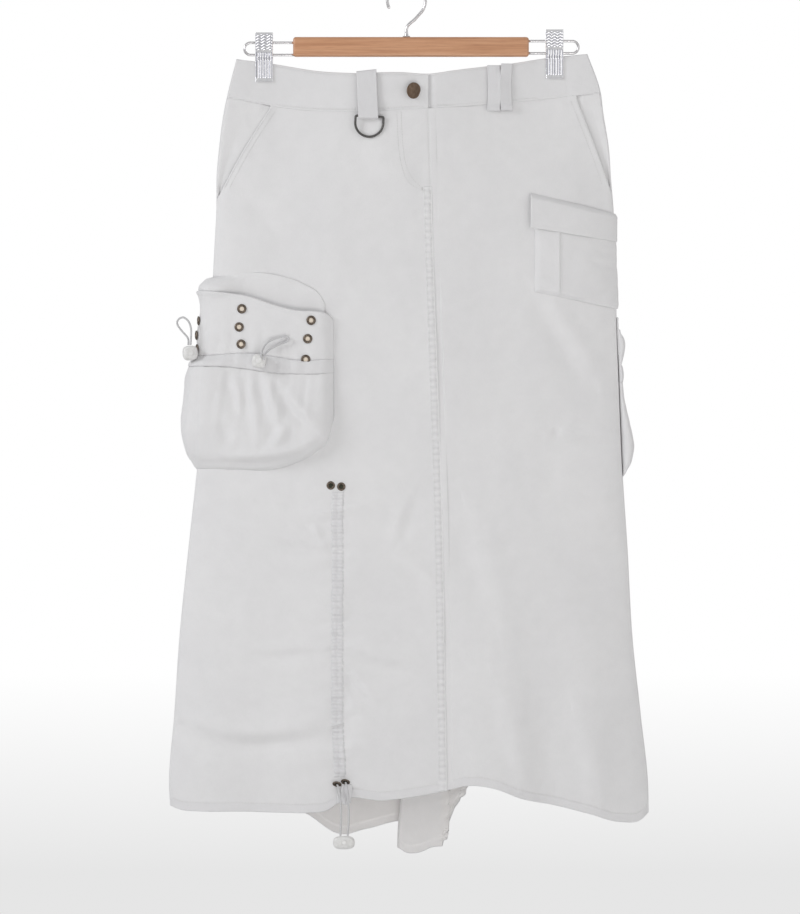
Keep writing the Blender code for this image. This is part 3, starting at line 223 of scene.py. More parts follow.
# the back pouch starts round the side at this angle, and turns through so many degrees over so many mm
BACK_POUCH_TURN = (62, 146, 56)
GATHER = 2.2
PER_LINE = 4                # columns of a pouch to one grid line of its solid
CASING_SWELL = 2.4
SIDE_ARCH = ((-186.0, 331.8), (-168.0, 331.2), (-141.0, 335.5), (-114.0, 345.5), (-99.0, 356.0), (-93.0, 366.0))
BACK_ARCH = ((214.0, 380.0), (190.0, 371.0), (160.0, 363.0), (130.0, 361.0), (100.0, 364.0), (76.0, 372.0),
             (60.0, 384.0))
SIDE_TOPS = {RIGHT: 336.5, LEFT: 382.0}
BACKING_FOOT = {RIGHT: 395.0, LEFT: 425.0}
SIDE_EYELETS = {
    "front": (("front", -107.7, 386.1), ("front", -111.6, 407.0), ("front", -113.9, 430.6)),
    "middle": (("front", -185.7, 372.8), ("front", -188.7, 393.5), ("front", -186.7, 413.0)),
    "side": (("side", 12, 386.0), ("side", 12, 402.5), ("side", 12, 418.0)),
}
BACK_EYELETS = (("back", 210.0, 402.5), ("back", 210.0, 415.5), ("back", 210.0, 428.5))
SIDE_LOOP_FRONT = (
    ("front", -162.3, 430.0, 15.5), ("front", -161.9, 423.0, 14.5), ("front", -159.5, 416.0, 9.5),
    ("front", -154.5, 409.8, 6.0), ("front", -146.1, 406.2, 4.5), ("front", -137.0, 404.2, 3.8),
    ("front", -132.6, 406.6, 3.8), ("front", -135.5, 410.4, 3.8), ("front", -142.9, 413.4, 4.2),
    ("front", -150.9, 417.2, 5.5), ("front", -156.0, 421.4, 9.0), ("front", -158.6, 426.0, 14.0),
    ("front", -159.0, 431.0, 15.5),
)
# the loop beside the skirt stands free: x, y, z
SIDE_LOOP_SIDE = (
    (-248.6, -15.6, -413.8), (-249.2, -15.4, -406.0), (-256.2, -14.6, -397.6), (-261.0, -14.2, -390.6),
    (-260.2, -14.6, -385.0), (-254.6, -15.8, -382.4), (-248.8, -17.2, -386.4), (-245.6, -18.0, -394.4),
    (-245.4, -18.2, -404.0), (-245.9, -17.8, -413.8),
)
BACK_LOOP_INNER = tuple(("back", 100.0 + x, 446.0 + drop, out) for x, drop, out in (
    (1.4, -8.9, 9.0), (4.0, -17.0, 8.6), (8.4, -26.0, 7.0), (6.5, -35.0, 6.0), (0.0, -38.0, 6.0),
    (-6.5, -35.0, 6.0), (-8.4, -26.0, 7.0), (-4.0, -17.0, 8.6), (-1.4, -8.9, 9.0)))
BACK_LOOP_OUTER = tuple((kind, at + 84.0, drop, out) for kind, at, drop, out in BACK_LOOP_INNER)
CORD_LOOPS = (
    ("side_pocket_cord_front", SIDE_POUCH, SIDE_LOOP_FRONT), ("side_pocket_cord_side", SIDE_POUCH, SIDE_LOOP_SIDE),
    ("back_pocket_cord_inner", BACK_POUCH, BACK_LOOP_INNER), ("back_pocket_cord_outer", BACK_POUCH, BACK_LOOP_OUTER),
)
TOGGLES = (                 # name, pouch, face, place on it, drop, how far out, size, lean
    ("side_pocket_toggle_front", SIDE_POUCH, "front", -165.4, 432.4, 7.0, (17.0, 14.0, 16.6), 0.1),
    ("side_pocket_toggle_side", SIDE_POUCH, "side", 35, 423.0, 10.0, (18.0, 15.0, 17.6), -0.1),
    ("back_pocket_toggle_inner", BACK_POUCH, "back", 100.0, 446.0, 7.4, (17.0, 14.0, 16.6), 0.0),
    ("back_pocket_toggle_outer", BACK_POUCH, "back", 184.0, 446.0, 7.4, (17.0, 14.0, 16.6), 0.0),
)

CHANNEL = (-78.6, 13.7, 581.4, 905.0)           # middle, width, top, foot
CHANNEL_PUCKERS = 83
CHANNEL_EYELETS = ((-86.1, 573.9), (-74.2, 575.2), (-78.8, 913.2), (-69.2, 910.6))

# folds and creases of the front: kind, height, half width, path of (x, drop).
# A "fold" stands proud on the left of its path and sinks on the right, "ridge" and "crease" are even.
FRONT_CREASES = (
    ("fold", 2.4, 9.0, ((-247.9, 847.0), (-225.1, 855.0), (-204.6, 861.3), (-178.4, 863.0), (-149.9, 861.3),
                        (-119.1, 857.3), (-88.8, 849.3))),
    ("fold", 1.3, 6.0, ((-164.2, 764.6), (-126.0, 762.7), (-99.1, 761.1))),
    ("fold", 1.5, 7.0, ((-62.1, 761.5), (-48.4, 768.4), (-27.9, 774.7), (-7.4, 777.5), (8.5, 783.9))),
    ("fold", 1.4, 6.0, ((-66.7, 785.5), (-35.9, 826.5))),
    ("crease", 1.0, 4.0, ((-70.6, 840.2), (-54.1, 832.8))),
    ("fold", 1.1, 5.0, ((-132.8, 625.9), (-95.2, 638.4))),
    ("fold", 1.2, 5.0, ((-140.8, 636.1), (-89.5, 648.7))),
    ("fold", 0.9, 4.0, ((-112.3, 617.9), (-99.7, 636.1))),
    ("fold", 1.0, 7.0, ((-10.8, 636.1), (8.1, 586.0))),
    ("fold", 1.3, 7.0, ((-6.3, 661.2), (29.1, 689.7))),
    ("fold", 1.3, 6.0, ((159.0, 516.4), (200.0, 520.0), (243.4, 521.0))),
    ("crease", 1.6, 4.5, ((166.0, 511.0), (176.0, 517.0))),
    ("fold", 1.4, 10.0, ((149.9, 355.7), (180.0, 404.0), (211.5, 456.0))),
    ("fold", 1.1, 14.0, ((67.8, 599.6), (84.0, 665.0), (102.0, 731.9))),
    ("fold", 1.4, 12.0, ((97.5, 793.4), (112.0, 850.0), (126.0, 912.0))),
    ("fold", 1.3, 12.0, ((192.1, 841.3), (203.0, 890.0), (212.6, 940.5))),
    ("ridge", 1.2, 16.0, ((-35.9, 183.5), (-8.0, 218.0), (21.1, 254.2))),
    ("crease", 1.3, 14.0, ((-198.9, 222.3), (-147.6, 291.8), (-110.0, 330.6))),
)
BAND_CREASES = (("fold", 0.9, 6.0, ((30.0, 121.0), (60.0, 119.0), (93.0, 117.0))),)
BAG_CREASES = (
    ("fold", 1.6, 4.5, ((-196.6, 452.0), (-192.0, 470.0), (-187.0, 495.0))),
    ("fold", 1.8, 4.5, ((-180.0, 452.6), (-176.0, 485.0), (-171.9, 519.0))),
    ("fold", 2.0, 5.0, ((-160.5, 450.3), (-155.0, 478.0), (-147.0, 510.0))),
    ("fold", 1.5, 5.0, ((-139.6, 504.2), (-147.0, 517.0), (-156.8, 528.7))),
    ("fold", 1.8, 5.0, ((-140.8, 464.2), (-124.0, 488.0), (-104.6, 507.9))),
    ("crease", 1.2, 4.0, ((-245.7, 477.7), (-237.7, 466.3))),
    ("crease", 1.2, 5.0, ((-204.6, 504.2), (-201.2, 528.7))),
    ("fold", 1.4, 5.0, ((-216.0, 545.3), (-180.0, 545.5), (-148.8, 543.1), (-118.0, 538.6), (-103.2, 530.7))),
)


# ================================================================ numbers
def mix(a, b, share):
    return a + (b - a) * share


def smooth(share):
    share = np.clip(share, 0.0, 1.0)
    return share * share * (3 - 2 * share)


def read(table, at, column=1):
    return np.interp(at, [row[0] for row in table], [row[column] for row in table])


def read_curve(table, at, column=1):
    """One column of a table along a smooth curve through its rows."""
    xs = np.array([row[0] for row in table], float)
    ys = np.array([row[column] for row in table], float)
    at = np.asarray(at, float)
    slopes = np.gradient(ys, xs)
    i = np.clip(np.searchsorted(xs, at) - 1, 0, len(xs) - 2)
    span = xs[i + 1] - xs[i]
    t = np.clip((at - xs[i]) / span, 0.0, 1.0)
    return ((2 * t ** 3 - 3 * t ** 2 + 1) * ys[i] + (t ** 3 - 2 * t ** 2 + t) * span * slopes[i]
            + (3 * t ** 2 - 2 * t ** 3) * ys[i + 1] + (t ** 3 - t ** 2) * span * slopes[i + 1])


def uneven(x, drop, wide, tall, seed):
    """Soft uneven swelling from -1 to 1, its patches about so wide and so tall."""
    lattice = np.random.RandomState(seed).uniform(-1, 1, (64, 64))
    u, v = np.asarray(x) / wide + 17.3, np.asarray(drop) / tall + 5.9
    i, j = np.floor(u).astype(int), np.floor(v).astype(int)
    s, t = smooth(u - i), smooth(v - j)
    value = lambda a, b: lattice[(i + a) % 64, (j + b) % 64]
    return mix(mix(value(0, 0), value(1, 0), s), mix(value(0, 1), value(1, 1), s), t)


def swelling(x, drop, *terms):
    """A sum of soft swellings: how high, how wide and how tall their patches are, and a seed."""
    return sum(height * uneven(x, drop, wide, tall, seed) for height, wide, tall, seed in terms)


def to_path(path, x, drop):
    """Distance to a path of (x, drop), its side (positive on the right of the path), and the share along it."""
    x, drop = np.broadcast_arrays(np.asarray(x, float), np.asarray(drop, float))
    nearest = np.full(x.shape, 1e9)
    side, along = np.zeros(x.shape), np.zeros(x.shape)
    knots = np.array(path, float)
    lengths = np.hypot(*(knots[1:] - knots[:-1]).T)
    walked = 0.0
    for (ax, ad), (bx, bd), length in zip(knots[:-1], knots[1:], lengths):
        t = np.clip(((x - ax) * (bx - ax) + (drop - ad) * (bd - ad)) / length ** 2, 0, 1)
        away = np.hypot(x - mix(ax, bx, t), drop - mix(ad, bd, t))
        closer = away < nearest
        cross = (bx - ax) * (drop - ad) - (bd - ad) * (x - ax)
        nearest = np.where(closer, away, nearest)
        side = np.where(closer, np.sign(cross), side)
        along = np.where(closer, (walked + t * length) / lengths.sum(), along)
        walked += length
    return nearest, side, along


def creased(paths, x, drop):
    """How far folds and creases lift or sink the cloth."""
    total = 0.0
    for kind, height, width, path in paths:
        away, side, along = to_path(path, x, drop)
        fade = np.sin(np.pi * np.clip(along, 0.02, 0.98)) ** 0.5
        s = away / width
        if kind == "fold":
            total = total - height * fade * side * s * np.exp(0.5 - 0.5 * s * s)
        else:
            total = total + (height if kind == "ridge" else -height) * fade * np.exp(-s * s)
    return total


def rolled(inside, radius, fall):
    """A folded cloth edge turns in over its last millimetre."""
    return -fall * (1 - np.sqrt(np.clip(1 - (1 - np.clip(inside / radius, 0, 1)) ** 2, 0, 1)))


def stitched_in(away, depth=0.35, width=0.9):
    """The groove that a row of stitches pulls into the cloth."""
    return -depth * np.exp(-(away / width) ** 2)


# ================================================================ the skirt's walls
def side_edge(hand, drop):
    return read_curve(OUTLINE, drop, 1 if hand == RIGHT else 2)


def from_side(hand, inwards, drop):
    """X of a place so many mm in from the side edge that hand names, place by place."""
    return np.where(hand == RIGHT, side_edge(RIGHT, drop) + inwards, side_edge(LEFT, drop) - inwards)


def bow(x):
    """How far the band bows out between the clips, from 0 at a clip to 1."""
    reach = CLIP_WIDTH / 2 + GRIP_MARGIN
    start, end = CLIPS[RIGHT][0] + reach, CLIPS[LEFT][0] - reach
    return np.sin(np.pi * np.clip((x - start) / (end - start), 0, 1)) ** BOW_POWER


def corner(x):
    """The small swelling of the band outside the clips, from 0 to 1."""
    reach = CLIP_WIDTH / 2 + GRIP_MARGIN
    return smooth(np.maximum(CLIPS[RIGHT][0] - reach - x, x - CLIPS[LEFT][0] - reach) / 12)


def folds(face, x, drop):
    """The soft folds that hang down to the hem."""
    height = 0.0
    for wall_face, hem_x, top_x, top, width, full in FOLDS:
        if wall_face == face:
            grown = smooth((drop - top) / (FOLD_FOOT - top))
            height = height + full * grown * np.exp(-((x - mix(top_x, hem_x, grown)) / width) ** 2)
    return height


def depth(face, x, drop):
    """How far a wall stands from the plane between front and back."""
    right, left = side_edge(RIGHT, drop), side_edge(LEFT, drop)
    full = read_curve(OUTLINE, drop, 3 if face == FRONT else 4)
    across = np.minimum(1.0, np.abs(x - (left + right) / 2) / ((left - right) / 2))
    hanging = SIDE_DEPTH + (full - SIDE_DEPTH) * (1 - across ** FULLNESS) ** (1 / FULLNESS)
    gripped = GRIP + (full - GRIP) * bow(x) + CORNER_SWELL * corner(x)
    released = smooth((drop - max(CLIPS[RIGHT][2], CLIPS[LEFT][2])) / GRIP_FADE)
    return mix(gripped, hanging, released) + folds(face, x, drop) * (1 - across ** 8)


def wall(face, x, drop, out=0.0):
    """Point on the outer face of the front or the back, moved out along its normal."""
    slope = depth(face, x + 0.5, drop) - depth(face, x - 0.5, drop)
    length = np.hypot(slope, 1.0)
    return x - out * slope / length, face * (depth(face, x, drop) + out / length), -drop


def turn_of_side(hand, angle, drop, out):
    """Point outside a side edge; +90 degrees faces the front, -90 the back."""
    bend = np.radians(angle)
    out = out + TURN_EASE
    toward_front = np.sign(angle) * depth(FRONT, side_edge(hand, drop), drop)
    return side_edge(hand, drop) + hand * out * np.cos(bend), -toward_front - out * np.sin(bend), -drop


def on_skirt(hand, zone, at, drop, out):
    """Point off the skirt: zone -1 is the front and 1 the back at a place in x, 0 the side at an angle."""
    x = np.where(zone == 0, side_edge(hand, drop), at)
    front, back = wall(FRONT, x, drop, out), wall(BACK, x, drop, out)
    side = turn_of_side(hand, np.where(zone == 0, at, 0.0), drop, out)
    return tuple(np.where(zone < 0, f, np.where(zone > 0, b, s)) for f, b, s in zip(front, back, side))


def mouth(hand, drop):
    """Edge of the front beside a slanted pocket, or the side seam below it."""
    table = RIGHT_MOUTH if hand == RIGHT else LEFT_MOUTH
    return np.where(drop >= table[-1][0], side_edge(hand, drop), read_curve(table, drop))


# ================================================================ relief of the front
SEAM_STRIP = 9.5            # width of the felled centre seam
SEAM_ROWS = (1.8, SEAM_STRIP - 1.3)             # its two rows of stitches, in from its edge
SEAM_HEAD = 233.0           # the strip starts under the fly
HEM_TURN = 10.0
BAND_STITCHES = (2.6, -2.8)  # rows of stitches below the band's top and above its foot


def near_channel(x, drop):
    """Wrinkles that the ruching pulls into the cloth on both sides of it."""
    middle, width, top, foot = CHANNEL
    away = np.maximum(0.0, np.abs(x - middle - 3.0 * (drop - top) / (foot - top)) - width / 2)
    inside = smooth((drop - top + 6) / 22) * smooth((foot + 12 - drop) / 22)
    slant = drop + 0.25 * away * np.sign(x - middle) + 2.0 * uneven(x, drop, 20, 30, 31)
    short = np.sin(2 * np.pi * slant / 7.8) * np.exp(-away / 6.0)
    middling = uneven(away * np.sign(x - middle), slant, 55, 9.0, 37) * np.exp(-away / 17.0)
    long_ones = uneven(away * np.sign(x - middle), slant, 130, 20.0, 41) * np.exp(-away / 42.0)
    return inside * (0.45 * short + 1.5 * middling + 1.9 * long_ones * smooth(away / 8) - 1.1 * np.exp(-away / 9.0))


def seam_wave(drop):
    """Puckers that the topstitching draws into the felled centre seam, from -1 in a dip to 1."""
    along = drop + 1.5 * uneven(drop * 0, drop, 10, 26, 11)
    return 2 * np.abs(np.sin(np.pi * along / 7.7)) ** 0.6 - 1


def front_relief(x, drop):
    """Everything that stands on or sinks into the plain wall of the front."""
    seam = read_curve(CENTRE_SEAM, drop)
    relief = 1.5 * creased(FRONT_CREASES, x, drop) + near_channel(x, drop)
    relief += swelling(x, drop, (1.3, 60, 140, 3), (0.55, 24, 46, 5), (0.16, 9, 14, 7))
    into = seam - x
    pull = np.exp(-np.abs(np.where(into > 0, into - SEAM_STRIP, into)) / 6.0)
    relief += 0.2 * pull * seam_wave(drop) * smooth((drop - 232) / 12)
    relief += stitched_in(np.abs(into - SEAM_ROWS[0]), 0.3)
    return relief


def hem_relief(x, above_hem):
    """The turned-up hem: a double edge, its row of stitches and the small puckers along it."""
    turned = smooth((HEM_TURN + 0.6 - above_hem) / 1.2)
    ripple = np.sin(2 * np.pi * (x + 3 * uneven(x, above_hem * 0, 40, 10, 13)) / 9.5)
    near = np.exp(-((above_hem - HEM_TURN) / 6.0) ** 2)
    return 0.45 * turned + 0.22 * ripple * near + stitched_in(above_hem - HEM_TURN, 0.4) + rolled(above_hem, 1.2, 0.5)


def front_face(x, drop, out=0.0):
    return wall(FRONT, x, drop, out + front_relief(x, drop))


# ================================================================ making and finishing
def only(*items):
    bpy.ops.object.select_all(action="DESELECT")
    for item in items:
        item.select_set(True)
    bpy.context.view_layer.objects.active = items[0]


def apply_modifier(item, kind, **settings):
    step = item.modifiers.new(kind.lower(), kind)
    for key, value in settings.items():
        setattr(step, key, value)
    only(item)
    bpy.ops.object.modifier_apply(modifier=step.name)


def flat_grid(name, places):
    """A grid primitive laid over places[column, row] in mm, its UV map the cloth's flat metres."""
    columns, rows = places.shape[:2]
    bpy.ops.object.select_all(action="DESELECT")
    bpy.ops.mesh.primitive_grid_add(x_subdivisions=columns - 1, y_subdivisions=rows - 1, size=2)
    piece = bpy.context.object
    piece.name = piece.data.name = name
    order = lambda values: values[:, ::-1].swapaxes(0, 1).reshape(columns * rows, -1)
    piece.data.vertices.foreach_set("co", (order(places) * MM).astype(np.float32).ravel())
    across = np.linalg.norm(np.diff(places, axis=0), axis=2)
    down = np.linalg.norm(np.diff(places, axis=1), axis=2)
    u = np.vstack([np.zeros((1, rows)), np.cumsum(across, axis=0)])
    v = np.hstack([np.zeros((columns, 1)), np.cumsum(down, axis=1)])
    u -= u[columns // 2]
    flat = order(np.stack([u, -v], axis=-1)) * MM
    corners = np.empty(len(piece.data.loops), np.int32)
    piece.data.loops.foreach_get("vertex_index", corners)
    piece.data.uv_layers[0].data.foreach_set("uv", flat[corners].astype(np.float32).ravel())
    piece.data.update()
    quads = np.linalg.norm(np.cross(places[1:, :-1] - places[:-1, :-1], places[:-1, 1:] - places[:-1, :-1]), axis=2)
    piece["flat"] = (float(across.sum(0).max()) * MM, float(down.sum(1).max()) * MM, float(quads.sum()) * MM ** 2)
    return piece


def cut_cloth(name, columns, rows, shape, thickness=TWILL, ease=0, layers=1.0, lined=False):
    """A piece of cloth bent to shape(column, row), in mm, and given its thickness inwards.

    Columns run anticlockwise round the skirt as seen from above, and rows run down.
    The layer count, as one number or by column and row, goes into a point attribute from which the finish paints shade:
    darker where cloth lies doubled, lighter on a thin folded edge. The clips keep their painted groove shade in it.
    """
    across, down = np.meshgrid(np.asarray(columns, float), np.asarray(rows, float), indexing="ij")
    places = np.stack(np.broadcast_arrays(*shape(across, down)), axis=-1).astype(float)
    for _ in range(ease):
        places[1:-1] = 0.5 * places[1:-1] + 0.25 * (places[:-2] + places[2:])
    piece = flat_grid(name, places)
    # painted shade and highlight: this attribute sets how dark the cloth's colour is painted
    wear_and_shade = piece.data.attributes.new("layers", "FLOAT", "POINT")
    doubled_shade = np.broadcast_to(layers(across, down) if callable(layers) else layers, across.shape)
    wear_and_shade.data.foreach_set("value", doubled_shade[:, ::-1].T.astype(np.float32).ravel())
    only(piece)
    bpy.ops.object.shade_smooth()
    if lined:                                     # the reverse side gets its own finish, a brighter, warmer twill with a painted glow of backlight
        piece.data.materials.append(None)
        piece.data.materials.append(None)
    apply_modifier(piece, "SOLIDIFY", thickness=thickness * MM, offset=-1.0, use_even_offset=False,
                   material_offset=int(lined))
    return piece


def close_up(merge=None, fill=True):
    """Merge doubled points, fill open ends, turn the faces outwards and leave edit mode."""
    if merge:
        bpy.ops.mesh.select_all(action="SELECT")
        bpy.ops.mesh.remove_doubles(threshold=merge)
    if fill:
        bpy.ops.mesh.select_all(action="DESELECT")
        bpy.ops.mesh.select_non_manifold()
        bpy.ops.mesh.fill_holes(sides=0)
    bpy.ops.mesh.select_all(action="SELECT")
    bpy.ops.mesh.normals_make_consistent(inside=False)
    bpy.ops.object.mode_set(mode="OBJECT")


def tube(name, points, radius, sides=12, closed=False, bulge=None):
    """A round cord or wire along points in mm, its UV map metres along it and metres round it."""
    line = np.array(points, float)
    count = len(line)
    tangent = np.roll(line, -1, axis=0) - np.roll(line, 1, axis=0) if closed else np.gradient(line, axis=0)
    tangent /= np.linalg.norm(tangent, axis=1)[:, None]
    side = np.cross(tangent[0], (0.31, 0.95, 0.05))
    side /= np.linalg.norm(side)
    frames = []
    for t in tangent:
        side = side - t * (side @ t)
        side /= np.linalg.norm(side)
        frames.append((side.copy(), np.cross(t, side)))
    if closed:                                    # spread the leftover twist round the ring
        first, last = frames[0], frames[-1]
        twist = math.atan2(last[0] @ first[1], last[0] @ first[0])
        turned = [math.cos(twist * k / count) * a - math.sin(twist * k / count) * b
                  for k, (a, b) in enumerate(frames)]
        turned = [a / np.linalg.norm(a) for a in turned]
        frames = [(a, np.cross(t, a)) for a, t in zip(turned, tangent)]
        line, frames = np.vstack([line, line[:1]]), frames + frames[:1]
    angles = np.linspace(0, 2 * np.pi, sides + 1)
    wide = np.full(len(line), radius) if bulge is None else radius * bulge(np.linspace(0, 1, len(line)))
    places = np.array([[p + r * (math.cos(a) * u + math.sin(a) * v) for a in angles]
                       for p, r, (u, v) in zip(line, wide, frames)])
    piece = flat_grid(name, places)
    only(piece)
    bpy.ops.object.mode_set(mode="EDIT")
    close_up(merge=1e-6, fill=not closed)
    bpy.ops.object.shade_smooth()
    return piece


def curve_through(route, count):
    """Points along a smooth curve through a route's own points."""
    knots = [np.array(p, float) for p in route]
    knots = [knots[0] * 2 - knots[1]] + knots + [knots[-1] * 2 - knots[-2]]
    spans = len(knots) - 3
    points = []
    for k in range(count):
        along = k / (count - 1) * spans
        i = min(int(along), spans - 1)
        t = along - i
        a, b, c, d = knots[i:i + 4]
        points.append(0.5 * (2 * b + (c - a) * t + (2 * a - 5 * b + 4 * c - d) * t ** 2
                             + (3 * b - a - 3 * c + d) * t ** 3))
    return points


def block(name, centre, size):
    """A cube primitive stretched to its size, in mm."""
    bpy.ops.object.select_all(action="DESELECT")
    bpy.ops.mesh.primitive_cube_add(size=1.0, location=[value * MM for value in centre])
    item = bpy.context.object
    item.name = item.data.name = name
    item.scale = [value * MM for value in size]
    bpy.ops.object.transform_apply(location=True, rotation=True, scale=True)
    return item


def smoothed(piece, degrees):
    """Smooth shading, with edges sharper than the angle kept."""
    only(piece)
    bpy.ops.object.shade_smooth_by_angle(angle=math.radians(degrees))
    return piece


def lathe(name, profile, steps):
    """A profile of (radius, height) in mm turned about Z: a circle extruded from ring to ring."""
    bpy.ops.object.select_all(action="DESELECT")
    (radius, height), rest = profile[0], profile[1:]
    bpy.ops.mesh.primitive_circle_add(vertices=steps, radius=radius * MM, location=(0, 0, 0), fill_type="NOTHING")
    piece = bpy.context.object
    piece.name = piece.data.name = name
    bpy.ops.object.mode_set(mode="EDIT")
    bpy.ops.mesh.select_all(action="SELECT")
    bpy.ops.transform.translate(value=(0, 0, height * MM))
    for next_radius, next_height in rest:
        bpy.ops.mesh.extrude_region_move(TRANSFORM_OT_translate={"value": (0, 0, (next_height - height) * MM)})
        grown = next_radius / radius
        bpy.ops.transform.resize(value=(grown, grown, 1), center_override=(0, 0, next_height * MM))
        radius, height = next_radius, next_height
    ring = profile[0] == profile[-1]
    close_up(merge=1e-7 if ring else None, fill=not ring)
    return piece


def facing(point, normal):
    turn = Vector(normal).to_track_quat("Z", "Y").to_matrix().to_4x4()
    return Matrix.Translation(Vector(point) * MM) @ turn


def copy_of(pattern, name, place):
    """A copy with its own mesh, its place put into the mesh."""
    item = pattern.copy()
    item.data = pattern.data.copy()
    item.name = item.data.name = name
    item.data.transform(place)
    item.matrix_world = Matrix.Identity(4)
    bpy.context.scene.collection.objects.link(item)
    return item


def joined(name, items):
    only(*items)
    if len(items) > 1:
        bpy.ops.object.join()
    items[0].name = items[0].data.name = name
    return items[0]


def wear(piece, finish, slot, *nodes, body="skirt", reverse=None):
    """Give a piece its finish and body, and let it stand for its solids."""
    if reverse is None:
        piece.data.materials.clear()
        piece.data.materials.append(finish)
    else:
        piece.data.materials[0], piece.data.materials[1] = finish, reverse
    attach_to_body(piece, body)
    if nodes:
        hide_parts(*nodes)
    return piece


def hang(piece, finish, rests_on, *nodes, held="hung", fullness=1.0, reverse=None):
    """A piece of cloth given its finish and body; the flat size that it was cut to is worked out and then dropped."""
    wear(piece, finish, "twill", *nodes, reverse=reverse)
    width, length, area = piece["flat"]
    width *= fullness
    area = min(area * fullness, width * length)
    del piece["flat"]
    return piece


# ================================================================ finishes
SOCKETS = {"sheen": "Sheen Weight", "sheen_roughness": "Sheen Roughness", "coat": "Coat Weight",
           "coat_roughness": "Coat Roughness"}


def finish(name, colour, roughness, metallic=0.0, **constant):
    made = bpy.data.materials.new(name)
    made.use_nodes = True
    shader = made.node_tree.nodes["Principled BSDF"]
    shader.inputs["Base Color"].default_value = (*colour, 1.0)
    shader.inputs["Roughness"].default_value = roughness
    shader.inputs["Metallic"].default_value = metallic
    for socket, value in constant.items():
        shader.inputs[SOCKETS[socket]].default_value = value
    return made


class Graph:
    """A material's nodes, added and joined in short lines."""

    def __init__(self, made):
        self.tree = made.node_tree
        self.shader = self.tree.nodes["Principled BSDF"]

    def add(self, kind, inputs=None, **settings):
        item = self.tree.nodes.new("ShaderNode" + kind)
        for key, value in settings.items():
            setattr(item, key, value)
        for key, value in (inputs or {}).items():
            if isinstance(value, bpy.types.NodeSocket):
                self.tree.links.new(value, item.inputs[key])
            else:
                item.inputs[key].default_value = value
        return item

    def into(self, socket, value):
        self.tree.links.new(value, self.shader.inputs[socket])

    def coordinates(self, kind="Object"):
        return self.add("TexCoord").outputs[kind]

    def scaled(self, coordinates, scale, turn=0.0):
        place = self.add("Mapping", {"Vector": coordinates, "Scale": scale, "Rotation": (0, 0, math.radians(turn))})
        return place.outputs["Vector"]

    def noise(self, vector, scale, detail=3.0, roughness=0.5, distortion=0.0):
        made = self.add("TexNoise", {"Vector": vector, "Scale": scale, "Detail": detail, "Roughness": roughness,
                                     "Distortion": distortion})
        return made.outputs["Fac"]

    def wave(self, vector, scale, distortion, direction="X", detail=2.0, detail_scale=1.0):
        made = self.add("TexWave", {"Vector": vector, "Scale": scale, "Distortion": distortion, "Detail": detail,
                                    "Detail Scale": detail_scale}, wave_type="BANDS", bands_direction=direction)
        return made.outputs["Fac"]

    def mapped(self, value, low, high, start=0.0, end=1.0):
        """A value's span from start to end, stretched to run from low to high."""
        made = self.add("MapRange", {"Value": value, "From Min": start, "From Max": end, "To Min": low,
                                     "To Max": high})
        return made.outputs["Result"]

    def layers(self):
        return self.add("Attribute", attribute_name="layers").outputs["Fac"]

    def ramp(self, value, *stops):
        made = self.add("ValToRGB", {"Fac": value})
        points = made.color_ramp.elements
        while len(points) < len(stops):
            points.new(0.5)
        for point, (at, colour) in zip(points, stops):
            point.position = at
            point.color = (*colour, 1.0)
        return made.outputs["Color"]

    def between(self, share, a, b, how="MIX"):
        colours = {key: value if isinstance(value, bpy.types.NodeSocket) else (*value, 1.0)
                   for key, value in ((6, a), (7, b))}
        return self.add("Mix", {0: share, **colours}, data_type="RGBA", blend_type=how).outputs[2]

    def darkened(self, share, base, value, dark, white_at):
        """The base colour, darker where a value is low: dark is a stop, its place and its colour."""
        return self.between(share, base, self.ramp(value, dark, (white_at, (1, 1, 1))), "MULTIPLY")

    def sum(self, a, b, how="ADD"):
        return self.add("Math", {0: a, 1: b}, operation=how).outputs[0]

    def times(self, a, b):
        return self.sum(a, b, "MULTIPLY")

    def bump(self, height, strength, distance, below=None):
        inputs = {"Height": height, "Strength": strength, "Distance": distance}
        if below is not None:
            inputs["Normal"] = below
        return self.add("Bump", inputs).outputs["Normal"]


def twill_finish(name, colour, doubled_shade):
    """White cotton twill: steep diagonal wales, uneven yarns, a soft nap and faint mottling, with painted shade where
    the cloth lies doubled and a painted highlight on thin folded edges.
    """
    made = finish(name, colour, 0.88, sheen=0.12, sheen_roughness=0.45)
    g = Graph(made)
    uv = g.coordinates("UV")
    wales = g.wave(g.scaled(uv, (1, 1, 1), 28), 500.0, 1.2, detail_scale=0.6)
    yarns = g.wave(uv, 620.0, 2.0, "Y", 1.0, 0.5)
    slubs = g.noise(g.scaled(uv, (1.0, 0.12, 1.0)), 1500.0, 2.0)
    nap = g.noise(uv, 4200.0, 2.0)
    mottle = g.noise(uv, 55.0, 4.0, 0.6)
    cloudy = g.noise(uv, 9.0, 2.0, 0.5)
    # painted highlight and shade: a lighter colour on thin folded edges, the plain colour on single cloth, and a darker
    # colour where cloth lies doubled or in pucker dips
    edge = tuple(min(0.96, value * 1.09) for value in colour)
    base = g.ramp(g.mapped(g.layers(), 0.0, 1.0, 0.0, 3.0), (0.0, edge), (1 / 3, colour), (1.0, doubled_shade))
    base = g.darkened(0.5, base, mottle, (0.3, (0.93, 0.93, 0.93)), 0.7)
    base = g.darkened(0.5, base, cloudy, (0.35, (0.95, 0.95, 0.955)), 0.65)
    base = g.darkened(0.5, base, g.times(wales, slubs), (0.0, (0.86, 0.86, 0.86)), 0.45)
    g.into("Base Color", base)
    g.into("Roughness", g.mapped(mottle, 0.82, 0.95, 0.3, 0.7))
    weave = g.sum(g.sum(wales, g.times(yarns, 0.35)), g.times(slubs, 0.6))
    fine = g.bump(g.sum(weave, g.times(nap, 0.5)), 0.35, 0.00012)
    g.into("Normal", g.bump(mottle, 0.25, 0.0007, fine))
    return made


